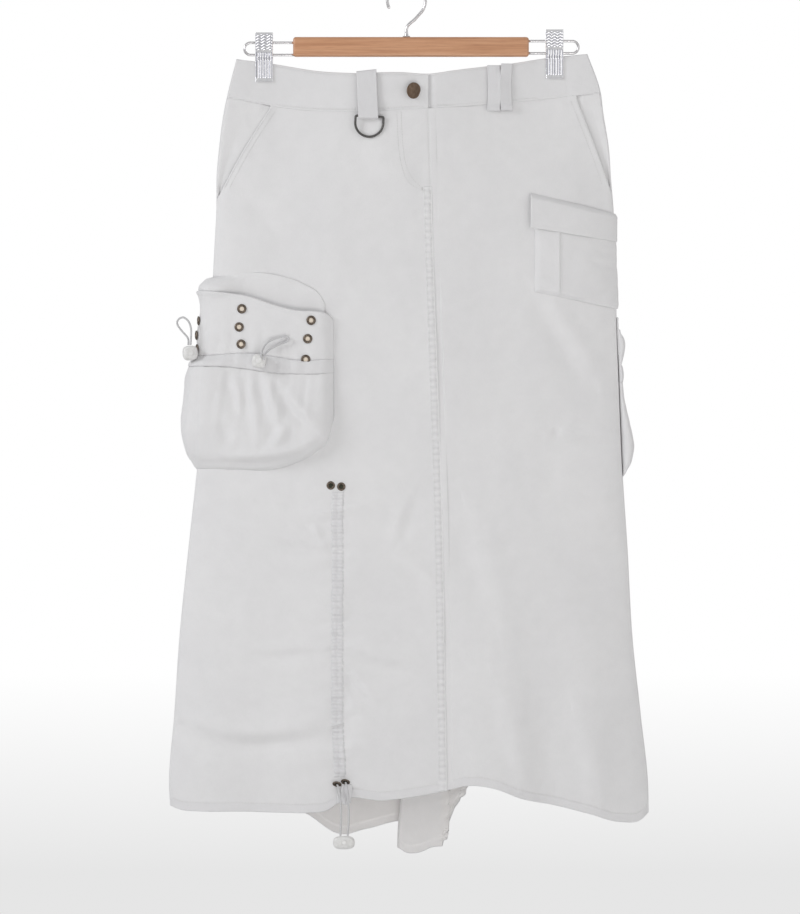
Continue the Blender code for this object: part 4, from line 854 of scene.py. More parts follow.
def metal_finish(name, colour, wear_and_shade, roughness, patches=900.0):
    """Plated metal with a darker patina that is rubbed bright in patches."""
    made = finish(name, colour, roughness, 1.0)
    g = Graph(made)
    place = g.coordinates()
    patina = g.noise(place, patches, 4.0, 0.6)
    scratches = g.noise(g.scaled(place, (1.0, 1.0, 9.0)), patches * 2.2, 2.0)
    g.into("Base Color", g.ramp(patina, (0.38, colour), (0.66, wear_and_shade)))
    g.into("Roughness", g.mapped(patina, roughness + 0.14, roughness - 0.06, 0.3, 0.7))
    g.into("Normal", g.bump(scratches, 0.12, 0.00008))
    return made


def chrome_finish():
    """Bright plating, with painted shade, dark and bluish, in the pressed grooves."""
    made = finish("bright_chrome", (0.84, 0.84, 0.87), 0.20, 1.0)
    g = Graph(made)
    place = g.coordinates()
    haze = g.noise(place, 240.0, 3.0)
    plated = g.ramp(haze, (0.3, (0.90, 0.90, 0.93)), (0.7, (0.98, 0.98, 0.99)))
    # painted shade: the clips' groove mask turns the plating dark and bluish in the pressed grooves
    g.into("Base Color", g.between(g.layers(), plated, (0.46, 0.46, 0.53)))
    g.into("Roughness", g.mapped(haze, 0.16, 0.30))
    g.into("Normal", g.bump(g.noise(g.scaled(place, (1.0, 1.0, 9.0)), 700.0, 2.0), 0.05, 0.00005))
    return made


def wood_finish():
    """Lacquered reddish wood with fine grain running along the bar."""
    made = finish("lacquered_wood", (0.55, 0.29, 0.17), 0.36, coat=0.35, coat_roughness=0.18)
    g = Graph(made)
    place = g.coordinates()
    broad = g.noise(g.scaled(place, (5.0, 60.0, 120.0)), 1.6, 3.0, 0.55, 0.4)
    fine = g.noise(g.scaled(place, (14.0, 300.0, 900.0)), 1.2, 4.0, 0.6)
    pores = g.noise(g.scaled(place, (60.0, 900.0, 2600.0)), 1.0, 2.0)
    base = g.ramp(broad, (0.30, (0.51, 0.245, 0.125)), (0.52, (0.615, 0.32, 0.175)), (0.74, (0.69, 0.385, 0.225)))
    base = g.darkened(0.6, base, fine, (0.35, (0.78, 0.72, 0.68)), 0.62)
    base = g.darkened(0.5, base, pores, (0.30, (0.62, 0.55, 0.50)), 0.42)
    g.into("Base Color", base)
    g.into("Roughness", g.mapped(fine, 0.44, 0.30))
    g.into("Normal", g.bump(g.sum(fine, pores), 0.18, 0.00015))
    return made


def cord_finish():
    """Braided cotton cord: two crossing spirals of small strands."""
    made = finish("braided_cord", (0.76, 0.755, 0.75), 0.85, sheen=0.15, sheen_roughness=0.5)
    g = Graph(made)
    uv = g.coordinates("UV")
    one, other = (g.wave(g.scaled(uv, (1, 1, 1), turn), 330.0, 0.4) for turn in (35, -35))
    braid = g.sum(one, other, "MAXIMUM")
    fuzz = g.noise(uv, 3500.0, 3.0)
    # braided strands, with painted shade: their colours run darker than the cord's base colour, for the shading along
    # the cord, and darkest between the strands
    strands = g.ramp(braid, (0.55, (0.50, 0.50, 0.515)), (0.95, (0.70, 0.695, 0.70)))
    g.into("Base Color", g.darkened(0.6, strands, fuzz, (0.3, (0.88, 0.88, 0.88)), 0.7))
    g.into("Normal", g.bump(g.sum(braid, g.times(fuzz, 0.3)), 0.6, 0.0003))
    return made


def toggle_finish():
    """Milky moulded plastic, faintly clouded."""
    made = finish("milky_plastic", (0.74, 0.735, 0.725), 0.32, coat=0.25, coat_roughness=0.2)
    g = Graph(made)
    place = g.coordinates()
    cloud = g.noise(place, 260.0, 3.0)
    g.into("Base Color", g.ramp(cloud, (0.35, (0.68, 0.675, 0.66)), (0.65, (0.78, 0.775, 0.77))))
    g.into("Roughness", g.mapped(cloud, 0.26, 0.42))
    g.into("Normal", g.bump(g.noise(place, 2400.0, 2.0), 0.15, 0.0001))
    return made


def thread_finish():
    """Twisted sewing thread."""
    made = finish("sewing_thread", (0.72, 0.715, 0.71), 0.6, sheen=0.2, sheen_roughness=0.4)
    g = Graph(made)
    twist = g.wave(g.coordinates(), 900.0, 0.5, "DIAGONAL")
    g.into("Base Color", g.ramp(twist, (0.2, (0.60, 0.595, 0.59)), (0.8, (0.78, 0.775, 0.77))))
    g.into("Normal", g.bump(twist, 0.4, 0.0001))
    return made


def lining_finish():
    """Cream pocket lining, a plain fine weave."""
    made = finish("cream_lining", (0.80, 0.70, 0.58), 0.9)
    g = Graph(made)
    place = g.coordinates()
    weave = g.add("TexChecker", {"Vector": place, "Scale": 2200.0}).outputs["Fac"]
    shade = g.noise(place, 500.0, 3.0)
    cream = g.ramp(shade, (0.3, (0.74, 0.63, 0.51)), (0.7, (0.84, 0.75, 0.64)))
    g.into("Base Color", g.darkened(0.4, cream, weave, (0.0, (0.9, 0.9, 0.9)), 1.0))
    g.into("Roughness", g.mapped(shade, 0.84, 0.95))
    g.into("Normal", g.bump(weave, 0.2, 0.0001))
    return made


# the second colour of each twill is painted shade for doubled cloth
TWILL_CLOTH = twill_finish("off_white_twill", (0.80, 0.795, 0.80), (0.70, 0.695, 0.71))
# painted light: the reverse face is a brighter, warmer twill, a painted glow of backlight shining through the cloth
TWILL_REVERSE_GLOW = twill_finish("twill_reverse_painted_glow", (0.97, 0.945, 0.93), (0.93, 0.92, 0.92))
THREAD = thread_finish()
CORD = cord_finish()
MILKY = toggle_finish()
LINING = lining_finish()
ANTIQUE = metal_finish("antique_brass", (0.085, 0.066, 0.052), (0.27, 0.225, 0.185), 0.42)
# painted shade: a near-black finish for the disc in the channel eyelets' holes, where only shade lies
SHADOWED = metal_finish("eyelet_hole_shade", (0.035, 0.035, 0.026), (0.09, 0.09, 0.068), 0.5)
BRONZE = metal_finish("antique_bronze", (0.155, 0.108, 0.078), (0.20, 0.145, 0.108), 0.46, 260.0)
GUNMETAL = metal_finish("gunmetal", (0.07, 0.067, 0.065), (0.20, 0.195, 0.19), 0.34)
CHROME = chrome_finish()
STEEL = metal_finish("steel_wire", (0.64, 0.63, 0.64), (0.82, 0.80, 0.81), 0.24, 420.0)
WOOD = wood_finish()


# ================================================================ camera, light and floor
SENSOR = 36.0               # mm
CAMERA_AWAY = 8.0           # from here on in metres
SHARP_PLANE = 0.012         # how far the skirt's front stands before the origin
PICTURE_HEIGHT = 1.042      # at that plane
PICTURE_MIDDLE = (-0.0074, -0.5415)
LIT_AT = (0, 0, -0.52)
LIGHTS = (                  # name, place, size, watts, colour
    ("key_light", (-2.5, -1.15, 0.75), 0.9, 29.0, (0.97, 0.98, 1.0)),
    ("fill_light", (2.2, -2.2, -0.3), 1.8, 9.0, (1.0, 0.985, 0.965)),
    ("low_light", (0.2, -1.9, -1.7), 1.8, 26.0, (1.0, 0.985, 0.97)),
    ("back_light", (0.6, 2.4, 0.4), 2.0, 14.0, (1.0, 1.0, 1.0)),
)


def studio():
    lens = bpy.data.cameras.new("camera")
    camera = bpy.data.objects.new("camera", lens)
    bpy.context.scene.collection.objects.link(camera)
    lens.sensor_width = SENSOR
    lens.lens = SENSOR * (CAMERA_AWAY - SHARP_PLANE) / PICTURE_HEIGHT
    camera.location = (PICTURE_MIDDLE[0], -CAMERA_AWAY, PICTURE_MIDDLE[1])
    camera.rotation_euler = (math.radians(90), 0, 0)
    bpy.context.scene.camera = camera
    bpy.context.scene.view_settings.view_transform = "Standard"

    world = bpy.data.worlds.new("white_studio")
    bpy.context.scene.world = world
    world.use_nodes = True
    tree = world.node_tree
    tree.nodes.clear()
    nodes = {kind: tree.nodes.new("ShaderNode" + kind) for kind in
             ("TexCoord", "SeparateXYZ", "MapRange", "LightPath", "OutputWorld")}
    shown, lit = tree.nodes.new("ShaderNodeBackground"), tree.nodes.new("ShaderNodeBackground")
    blend = tree.nodes.new("ShaderNodeMixShader")
    # the backdrop that the camera sees is a little darker towards the picture's foot
    tree.links.new(nodes["TexCoord"].outputs["Generated"], nodes["SeparateXYZ"].inputs[0])
    tree.links.new(nodes["SeparateXYZ"].outputs["Z"], nodes["MapRange"].inputs["Value"])
    for key, value in (("From Min", -0.0591), ("From Max", -0.0309), ("To Min", 0.79), ("To Max", 1.0)):
        nodes["MapRange"].inputs[key].default_value = value
    tree.links.new(nodes["MapRange"].outputs["Result"], shown.inputs["Strength"])
    lit.inputs["Strength"].default_value = 0.54
    for background in (shown, lit):
        background.inputs["Color"].default_value = (1, 1, 1, 1)
    tree.links.new(nodes["LightPath"].outputs["Is Camera Ray"], blend.inputs[0])
    tree.links.new(lit.outputs[0], blend.inputs[1])
    tree.links.new(shown.outputs[0], blend.inputs[2])
    tree.links.new(blend.outputs[0], nodes["OutputWorld"].inputs[0])

    for name, place, size, watts, colour in LIGHTS:
        data = bpy.data.lights.new(name, "AREA")
        data.size = size
        data.energy = watts
        data.color = colour
        lamp = bpy.data.objects.new(name, data)
        lamp.location = place
        lamp.rotation_euler = (Vector(LIT_AT) - Vector(place)).to_track_quat("-Z", "Y").to_euler()
        bpy.context.scene.collection.objects.link(lamp)

    bpy.ops.object.select_all(action="DESELECT")
    bpy.ops.mesh.primitive_circle_add(vertices=96, radius=1.6, fill_type="NGON", location=(0, 0, -1.32))
    floor = bpy.context.object
    floor.name = "floor"
    pale = finish("pale_floor", (0.80, 0.80, 0.80), 0.7)
    g = Graph(pale)
    g.into("Base Color", g.ramp(g.noise(g.coordinates(), 6.0), (0.3, (0.78, 0.78, 0.78)), (0.7, (0.81, 0.81, 0.81))))
    floor.data.materials.append(pale)


studio()


# ================================================================ pouch faces (the cords follow them)
SIDE_LINES = (np.array([0, 1, 2, 3, 4, 4.5]), np.array([1.0, 0.86, 0.6, 0.36, 0.14, 0.04]))
SIDE_ANGLES = (np.array([4.5, 5, 6, 7, 8, 9, 10, 11, 11.5]), np.array([-84, -75, -45, -20, 0, 20, 45, 75, 84]))
BACK_ANGLES = (np.array([0, 1, 2, 3, 3.5]), np.array([62, 12, -45, -75, -84]))


def pouch_station(spec, line):
    """Zone and share of the way to the pouch's end, or angle, at a number along the solid's grid lines."""
    if spec["hand"] == RIGHT:
        zone = np.where(line < 4.5, 1, np.where(line < 11.5, 0, -1))
        back = np.interp(line, *SIDE_LINES)
        side = np.interp(line, *SIDE_ANGLES)
        front = np.interp(line, [11.5, 12, 29], [0.0, 0.035, 1.0])
        return zone, np.where(zone > 0, back, np.where(zone == 0, side, front))
    zone = np.where(line < 3.5, 0, 1)
    return zone, np.where(zone == 0, np.interp(line, *BACK_ANGLES), np.interp(line, [3.5, 4, 24], [0.0, 0.03, 1.0]))


def pouch_x(spec, zone, at, drop):
    """The place in x of a share of the way from the side edge to the pouch's end."""
    edge = side_edge(spec["hand"], drop)
    front_end = spec["front_end"] if spec["front_end"] is not None else spec["back_end"]
    return np.where(zone == 0, edge, mix(edge, np.where(zone < 0, front_end, spec["back_end"]), at))


def pouch_edges(spec, zone, at):
    """Drops of a pouch's upper edge, its casing's top and foot, and its own foot."""
    place = pouch_x(spec, zone, at, 440.0)
    return [read_curve(sorted(spec["edge"]), place, column) for column in (1, 2, 3, 4)]


def pouch_point(spec, zone, at, drop, swell=0.0):
    """Outer face of a pouch: the skirt's wall moved out by the pouch's depth there."""
    hand = spec["hand"]
    edge = side_edge(hand, drop)
    x = pouch_x(spec, zone, at, drop)
    _, _, casing_foot, foot = pouch_edges(spec, zone, at)
    near_side = np.where(zone == 0, 0.0, np.abs(edge - x))
    flat = read_curve(POUCH_FLAT, drop - casing_foot + POUCH_FLAT[3][0])
    full = mix(read_curve(spec["side"], drop), flat, smooth(near_side / SIDE_TO_FLAT))
    front_end = spec["front_end"] if spec["front_end"] is not None else 1e6
    to_end = np.where(zone < 0, np.abs(front_end - x), np.where(zone > 0, np.abs(spec["back_end"] - x), 1e3))
    if spec["front_end"] is None:
        first_angle, turn, length = BACK_POUCH_TURN
        to_end = np.where(zone == 0, (first_angle - at) / turn * length, to_end)
    to_edge = np.minimum(foot - drop, to_end)
    share = np.clip((to_edge - POUCH_SEAM) / (POUCH_ROUND - POUCH_SEAM), 0, 1)
    rounded = (1 - (1 - share) ** 2) ** 0.8
    attach = np.full(np.shape(drop), POUCH_ATTACH)
    if spec["front_end"] is None:
        attach = np.where(zone == 0, mix(OVER_BACKING, POUCH_ATTACH, smooth((drop - BACKING_FOOT[hand]) / 8)), attach)
    out = attach + np.maximum(0.0, full - attach) * rounded + swell * rounded
    out = out - attach * 0.9 * (1 - np.clip(to_edge / 2.5, 0, 1))
    return on_skirt(hand, zone, np.where(zone == 0, at, x), drop, out)


def on_pouch(spec, kind, at, drop, out):
    """Point and outward normal on a pouch's face; kind is front, back or side."""
    hand = spec["hand"]
    zone = {"front": -1, "side": 0, "back": 1}[kind]

    def point(place, at_drop):
        if zone == 0:
            return np.array(pouch_point(spec, 0, place, at_drop), float)
        edge = side_edge(hand, at_drop)
        end = spec["front_end"] if zone < 0 else spec["back_end"]
        return np.array(pouch_point(spec, zone, (place - edge) / (end - edge), at_drop), float)

    here = point(at, drop)
    step = 2.0
    if zone == 0:
        bend = math.radians(at)
        normal = np.array((hand * math.cos(bend), -math.sin(bend), 0.0))
    else:
        normal = np.cross(point(at - zone * step, drop) - here, point(at, drop - step) - here)
        normal /= np.linalg.norm(normal)
    return here + normal * out, normal


# ================================================================ cords, eyelets and toggles
def eyelet_pattern(name, behind):
    """A pressed eyelet: a rolled rim round a short barrel, and a disc in its hole in the finish behind it: the lining,
    or a near-black painted shade.
    """
    ring = lathe(name, ((2.75, -0.35), (2.75, 0.35), (2.95, 0.75), (3.45, 1.0), (4.2, 1.02), (4.9, 0.72),
                        (5.35, 0.25), (5.4, -0.1), (5.1, -0.25), (3.6, -0.3), (2.75, -0.35)), 32)
    hole = lathe(name + "_hole", ((0.02, 0.42), (1.2, 0.38), (2.2, 0.24), (2.9, 0.0), (2.9, -0.3), (0.02, -0.3)), 24)
    ring.data.materials.append(ANTIQUE)
    hole.data.materials.append(behind)
    item = joined(name, [ring, hole])
    bpy.ops.object.shade_smooth()
    return item


def toggle(name, centre, size, lean=0.0):
    """A cord lock: a rounded body with a round button pressed into its front."""
    body = block(name, (0, 0, 0), size)
    bpy.ops.object.mode_set(mode="EDIT")
    bpy.ops.mesh.select_all(action="SELECT")
    bpy.ops.mesh.subdivide(number_cuts=2)
    bpy.ops.object.mode_set(mode="OBJECT")
    for vertex in body.data.vertices:
        unit = Vector([v / (s * MM / 2) for v, s in zip(vertex.co, size)])
        pull = (abs(unit.x) ** 4.0 + abs(unit.y) ** 3.0 + abs(unit.z) ** 4.0) ** (-1 / 3.6)
        vertex.co = Vector([u * pull * s * MM / 2 for u, s in zip(unit, size)])
    apply_modifier(body, "SUBSURF", levels=2, render_levels=2)
    bpy.ops.object.select_all(action="DESELECT")
    bpy.ops.mesh.primitive_cylinder_add(vertices=28, radius=size[1] * 0.27 * MM, depth=size[2] * 0.34 * MM,
                                        location=(0, -size[1] * 0.36 * MM, size[2] * 0.04 * MM),
                                        rotation=(math.radians(90), 0, 0))
    button = bpy.context.object
    bpy.ops.object.transform_apply(location=True, rotation=True, scale=True)
    apply_modifier(button, "BEVEL", width=0.9 * MM, segments=3, limit_method="ANGLE", angle_limit=math.radians(40))
    item = smoothed(joined(name, [body, button]), 50)
    item.data.transform(Matrix.Translation(Vector(centre) * MM) @ Matrix.Rotation(lean, 4, "Y"))
    item.matrix_world = Matrix.Identity(4)
    return wear(item, MILKY, "toggle", name)


HEM_TOGGLE = (-71.0, -46.5, -979.3)             # x, y, z of its middle


def cord_along(name, line):
    """A cord on its centreline, and its length in mm."""
    cord = wear(tube(name, line, CORD_RADIUS), CORD, "cord", name)
    return cord, sum(np.linalg.norm(b - a) for a, b in zip(line, line[1:]))


def free_cords():
    """The hem's two cord ends, and the four loops that stand on the pouches."""
    place = [np.array(wall(FRONT, x, drop, EYELET_STAND), float) for x, drop in CHANNEL_EYELETS]
    hem_toggle = toggle("hem_toggle", HEM_TOGGLE, (25.5, 12.0, 15.6))
    for name, start, end_x, side_x in (("hem_cord_1", place[2], -75.0, -74.6),
                                       ("hem_cord_2", place[3], -66.8, -65.9)):
        out = start[1] - 0.9 - CORD_RADIUS - LAP_GAP
        route = ((start[0], out, start[2]), (mix(start[0], side_x, 0.5), out - 1.0, start[2] - 7),
                 (side_x, -45.6, -935), (side_x + 0.4, -46.4, -953), (end_x, HEM_TOGGLE[1], HEM_TOGGLE[2] + 7.9))
        line = curve_through(route, 33)
        cord, length = cord_along(name, line)
    for name, spec, route in CORD_LOOPS:
        line = curve_through([on_pouch(spec, *knot)[0] if len(knot) == 4 else knot for knot in route], 57)
        cord, length = cord_along(name, line)


def cord_locks():
    """The toggles on the pouches' casings."""
    for name, spec, kind, at, drop, out, size, lean in TOGGLES:
        centre, _ = on_pouch(spec, kind, at, drop, CASING_SWELL + out)
        toggle(name, centre, size, lean)


def eyelets():
    """The eyelets of both pouches and of the ruching channel."""
    lined, plain = eyelet_pattern("eyelet_pattern", LINING), eyelet_pattern("plain_pattern", SHADOWED)

    def set_in(pattern, name, point, normal, scale=1.0):
        item = copy_of(pattern, name, facing(point, normal) @ Matrix.Scale(scale, 4))
        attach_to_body(item, "skirt")
        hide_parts(name)
        return item

    for column, places in SIDE_EYELETS.items():
        for k, (kind, at, drop) in enumerate(places):
            place = on_pouch(SIDE_POUCH, kind, at, drop, EYELET_STAND)
            item = set_in(lined, f"side_pocket_eyelet_{column}_{k + 1}", *place)
            if (column, k) == ("front", 2):           # its lower half is under the casing
                only(item)
                bpy.ops.object.mode_set(mode="EDIT")
                bpy.ops.mesh.select_all(action="SELECT")
                bpy.ops.mesh.bisect(plane_co=(at * MM, 0, -(drop + 2.3) * MM), plane_no=(0.08, 0, 1), use_fill=True,
                                    clear_inner=True)
                bpy.ops.object.mode_set(mode="OBJECT")
    for k, (kind, at, drop) in enumerate(BACK_EYELETS):
        set_in(lined, f"back_pocket_eyelet_{k + 1}", *on_pouch(BACK_POUCH, kind, at, drop, EYELET_STAND))
    for k, (x, drop) in enumerate(CHANNEL_EYELETS):
        # the lower two hang tipped forward, with the cords coming out of them
        out, normal, size = (1.0, (0, -1, 0), 0.9) if k < 2 else (3.4, (-0.15, -0.6, -0.78), 0.98)
        set_in(plain, f"channel_eyelet_{k + 1}", wall(FRONT, x, drop, out), normal, size)
    bpy.data.objects.remove(lined)
    bpy.data.objects.remove(plain)


free_cords()
cord_locks()
eyelets()


# ================================================================ stitches
STITCH_PITCH = 3.2
ROW_STEP = 3.0              # between the points that a row of stitches follows
STITCH_SIZE = (0.24, 0.3, 1.15)


def stitch_pattern():
    bpy.ops.object.select_all(action="DESELECT")
    bpy.ops.mesh.primitive_uv_sphere_add(segments=6, ring_count=4, radius=1.0)
    stitch = bpy.context.object
    stitch.name = "stitch_pattern"
    stitch.rotation_euler = (0, math.radians(90), 0)
    stitch.scale = [value * MM for value in STITCH_SIZE]
    bpy.ops.object.transform_apply(location=True, rotation=True, scale=True)
    bpy.ops.object.shade_smooth()
    return stitch


STITCH = stitch_pattern()


def sew(name, lines):
    """Rows of stitches along lines of points in mm, as one piece."""
    rows = []
    for points in lines:
        thread = bpy.data.objects.new("thread", bpy.data.curves.new("thread", "CURVE"))
        bpy.context.scene.collection.objects.link(thread)
        thread.data.dimensions = "3D"
        line = thread.data.splines.new("POLY")
        line.points.add(len(points) - 1)
        for knot, spot in zip(line.points, points):
            knot.co = (*[float(value) * MM for value in spot], 1.0)
        row = copy_of(STITCH, name, Matrix.Identity(4))
        length = sum(math.dist(a, b) for a, b in zip(points, points[1:]))
        apply_modifier(row, "ARRAY", fit_type="FIXED_COUNT", count=max(2, int(length / STITCH_PITCH)),
                       use_relative_offset=False, use_constant_offset=True,
                       constant_offset_displace=(STITCH_PITCH * MM, 0, 0))
        apply_modifier(row, "CURVE", object=thread, deform_axis="POS_X")
        bpy.data.objects.remove(thread)
        rows.append(row)
    return wear(joined(name, rows), THREAD, "twill")


# ================================================================ fronts
def steps(*spans):
    """Grid lines from (start, end, largest step) spans that follow one another."""
    made = [spans[0][0]]
    for start, end, step in spans:
        count = max(1, int(math.ceil(abs(end - start) / step - 1e-9)))
        made += [mix(start, end, k / count) for k in range(1, count + 1)]
    return np.array(made)


def front_panel(hand):
    """One front, from the side seam or pocket mouth to the centre seam.

    Each column is a share of the way across, and mm in from that edge where the share is 0 or 1.
    """
    seam_reach = 0.0 if hand == RIGHT else LAP_REACH
    seam_zone = 16.0
    outer = steps((0, 2.4, 0.6), (2.4, 12, 2.4), (12, SIDE_ZONE, 3.0))
    inner = steps((0, 1.0, 3.0 / 230))
    edge = steps((seam_zone, 11, 2.5), (11, 6.5, 1.1), (6.5, 3, 1.1), (3, 0, 0.6))
    spots = [(0.0, v) for v in outer] + [(v, None) for v in inner[1:-1]] + [(1.0, v) for v in edge]
    if hand == LEFT:
        spots += [(1.0, -v) for v in (0.5, 1.2, 3.0, 5.0, 6.0, 6.8, 7.6, 8.6, 11.0, 15.0)]
    shares = np.array([s for s, _ in spots])
    offsets = np.array([0.0 if v is None else v for _, v in spots])
    inside = np.array([v is None for _, v in spots])
    rows = steps((0, 2.4, 0.8), (2.4, 12, 2.4), (12, 787, 3.1), (787, 797, 1.0),
                 (797, FRONT_LENGTH, 0.6)) / FRONT_LENGTH
    reverse = hand == LEFT

    def column_x(index, drop):
        i = index.astype(int)
        start, seam = mouth(hand, drop), read_curve(CENTRE_SEAM, drop) + seam_reach
        near, far = start - hand * SIDE_ZONE, seam + hand * seam_zone
        return np.where(inside[i], mix(near, far, shares[i]),
                        np.where(shares[i] == 0.0, start - hand * offsets[i], seam + hand * offsets[i]))

    def ends(index):
        at_top = column_x(index, np.full(index.shape, SEAM_LEVEL["front"]))
        at_hem = column_x(index, np.full(index.shape, HEM_LEVEL))
        return read_curve(BAND_SEAM, at_top) + BAND_GAP / 2, read_curve(FRONT_HEM, at_hem)

    def shape(index, row):
        index = len(spots) - 1 - index if reverse else index
        top, hem = ends(index)
        drop = mix(top, hem, row)
        x = column_x(index, drop)
        i = index.astype(int)
        seam = read_curve(CENTRE_SEAM, drop)
        under = (TWILL + LAP_GAP) * smooth((seam - 0.1 - x) / 1.2) if reverse else 0.0
        start = mouth(hand, drop)
        free = np.abs(x - start)
        slanted = start != side_edge(hand, drop)
        relief = front_relief(x, drop) * smooth(free / 10) + hem_relief(x, hem - drop)
        relief = np.where(slanted, relief + rolled(free, 1.4, 0.5), relief)
        if reverse:
            relief = np.where(x < seam + LAP_REACH, relief * 0.3, relief)
        else:
            relief = relief + rolled(seam - x, 0.8, 0.3)
        px, py, pz = wall(FRONT, x, drop, relief - under)
        on_seam = (shares[i] == 0.0) & (offsets[i] == 0.0) & ~slanted
        return np.where(on_seam, start, px), np.where(on_seam, -SEAM_GAP / 2, py), pz

    # painted shade: the doubled hem turn takes a darker colour
    def layers(index, row):
        index = len(spots) - 1 - index if reverse else index
        top, hem = ends(index)
        drop = mix(top, hem, row)
        return 1 + 0.5 * smooth((HEM_TURN - (hem - drop)) / 0.8)

    name = f"front_{SIDE[hand]}_panel"
    panel = cut_cloth(name, np.arange(len(spots)), rows, shape, layers=layers)
    return hang(panel, TWILL_CLOTH, [f"waistband_front_{SIDE[hand]}"], name)


def felled_seam():
    """The folded strip of the centre seam, puckered by its two rows of topstitching."""
    across = steps((0, 0.8, 0.4), (0.8, SEAM_STRIP - 0.8, 0.8), (SEAM_STRIP - 0.8, SEAM_STRIP, 0.4))

    def seam_drop(row):
        return mix(SEAM_HEAD, read_curve(FRONT_HEM, 40.0) - 0.4, row)

    def shape(at, row):
        drop = seam_drop(row)
        into = SEAM_STRIP - 0.15 - at
        x = read_curve(CENTRE_SEAM, drop) - into
        inside = np.minimum(at, SEAM_STRIP - at)
        wave = seam_wave(drop + 0.8 * uneven(at, drop, 3, 5, 43))
        held = np.clip(np.sin(np.pi * np.clip(into / SEAM_STRIP, 0, 1)), 0.0, 1.0)
        stand = 0.55 + (0.42 * wave + 0.18 * uneven(at, drop, 4, 6, 45)) * (0.35 + 0.65 * held)
        stand = stand + sum(stitched_in(into - stitches, 0.3) for stitches in SEAM_ROWS)
        return front_face(x, drop, stand * smooth(0.25 + inside / 1.2) * smooth((drop - SEAM_HEAD + 2) / 6))

    # painted shade and highlight: the strip is darker in its pucker dips and lighter on their tops, and its folded edge
    # takes the lighter edge colour
    def layers(at, row):
        edge = smooth((at - SEAM_STRIP + 1.3) / 0.5)
        return mix(1.55 - 0.75 * seam_wave(seam_drop(row)), 0.2, edge)

    piece = cut_cloth("centre_seam", across, steps((0, 1, 1.15 / 690)), shape, 0.5, layers=layers)
    return hang(piece, TWILL_CLOTH, ["front_right_panel"], fullness=1.05)


def hip_piece(hand):
    """The cloth inside a slanted pocket, from the side seam to under the front."""
    foot = (RIGHT_MOUTH if hand == RIGHT else LEFT_MOUTH)[-1][0] + 2.0
    count, at_mouth = 26, 20.0                    # columns in all, and those out to the pocket's mouth

    def shape(index, row):
        index = index if hand == RIGHT else count - index
        share = index / at_mouth
        side = side_edge(hand, SEAM_LEVEL["hip"])
        wide = mouth(hand, SEAM_LEVEL["hip"]) - side
        beyond = np.maximum(0.0, share - 1.0) / 0.3 * 12.0
        top_x = side + wide * np.minimum(1, share) - hand * beyond
        drop = mix(read_curve(BAND_SEAM, top_x) - 1.0, foot, row)
        edge = side_edge(hand, drop)
        width = np.abs(mouth(hand, drop) - edge)
        sunk = smooth(np.interp(share, [0, 0.2, 0.5, 0.8], [0, 0.35, 0.85, 1.0]))
        under = (TWILL + mix(*HIP_GAP, smooth(row))) * sunk
        low = smooth((drop - foot + 16.0) / 12.0)
        x = edge - hand * (width * np.minimum(1, share) + beyond + 1.2 * low)
        near_band = 0.26 + 0.74 * smooth((drop - read_curve(BAND_SEAM, top_x) - 1.0) / 16.0)
        under = under * mix(near_band, 1.0, smooth((share - 0.78) / 0.15))
        out = -np.maximum(under, 1.4 * low) + 0.25 * uneven(x, drop, 16, 22, 51) * smooth(share * 4)
        px, py, pz = wall(FRONT, x, drop, out)
        return np.where(index == 0, edge - hand * 1.2 * low, px), np.where(index == 0, -SEAM_GAP / 2, py), pz

    name = f"hip_piece_{SIDE[hand]}"
    piece = cut_cloth(name, np.arange(count + 1), steps((0, 1, 0.03)), shape)
    return hang(piece, TWILL_CLOTH, [f"waistband_front_{SIDE[hand]}"], name)


# ================================================================ back
def tail_section(growth):
    """The tail's two folds seen from above, for each row: steps in x and forward from the first fold's start."""
    heading = np.pi * smooth(growth / TAIL_TURNED)
    widening = TAIL_TURNED * 0.8
    between = mix(2.0, TAIL_FOLD[2], smooth((growth - widening) / (1 - widening)))
    x, forward = np.zeros_like(growth), np.zeros_like(growth)
    xs, forwards = [x], [forward]
    for fold, radius in enumerate(FOLD_RADII):
        if fold:
            for _ in range(LAYER_STEPS):
                x = x + between / LAYER_STEPS * np.cos(heading)
                forward = forward + between / LAYER_STEPS * np.sin(heading)
                xs.append(x)
                forwards.append(forward)
        for k in range(FOLD_STEPS):
            turned_by = heading * (k + 0.5) / FOLD_STEPS
            bend = turned_by if fold == 0 else heading - turned_by
            step = 2 * radius * np.sin(np.maximum(heading, 0.6) / FOLD_STEPS / 2)
            x, forward = x + step * np.cos(bend), forward + step * np.sin(bend)
            xs.append(x)
            forwards.append(forward)
    return np.array(xs), np.array(forwards)


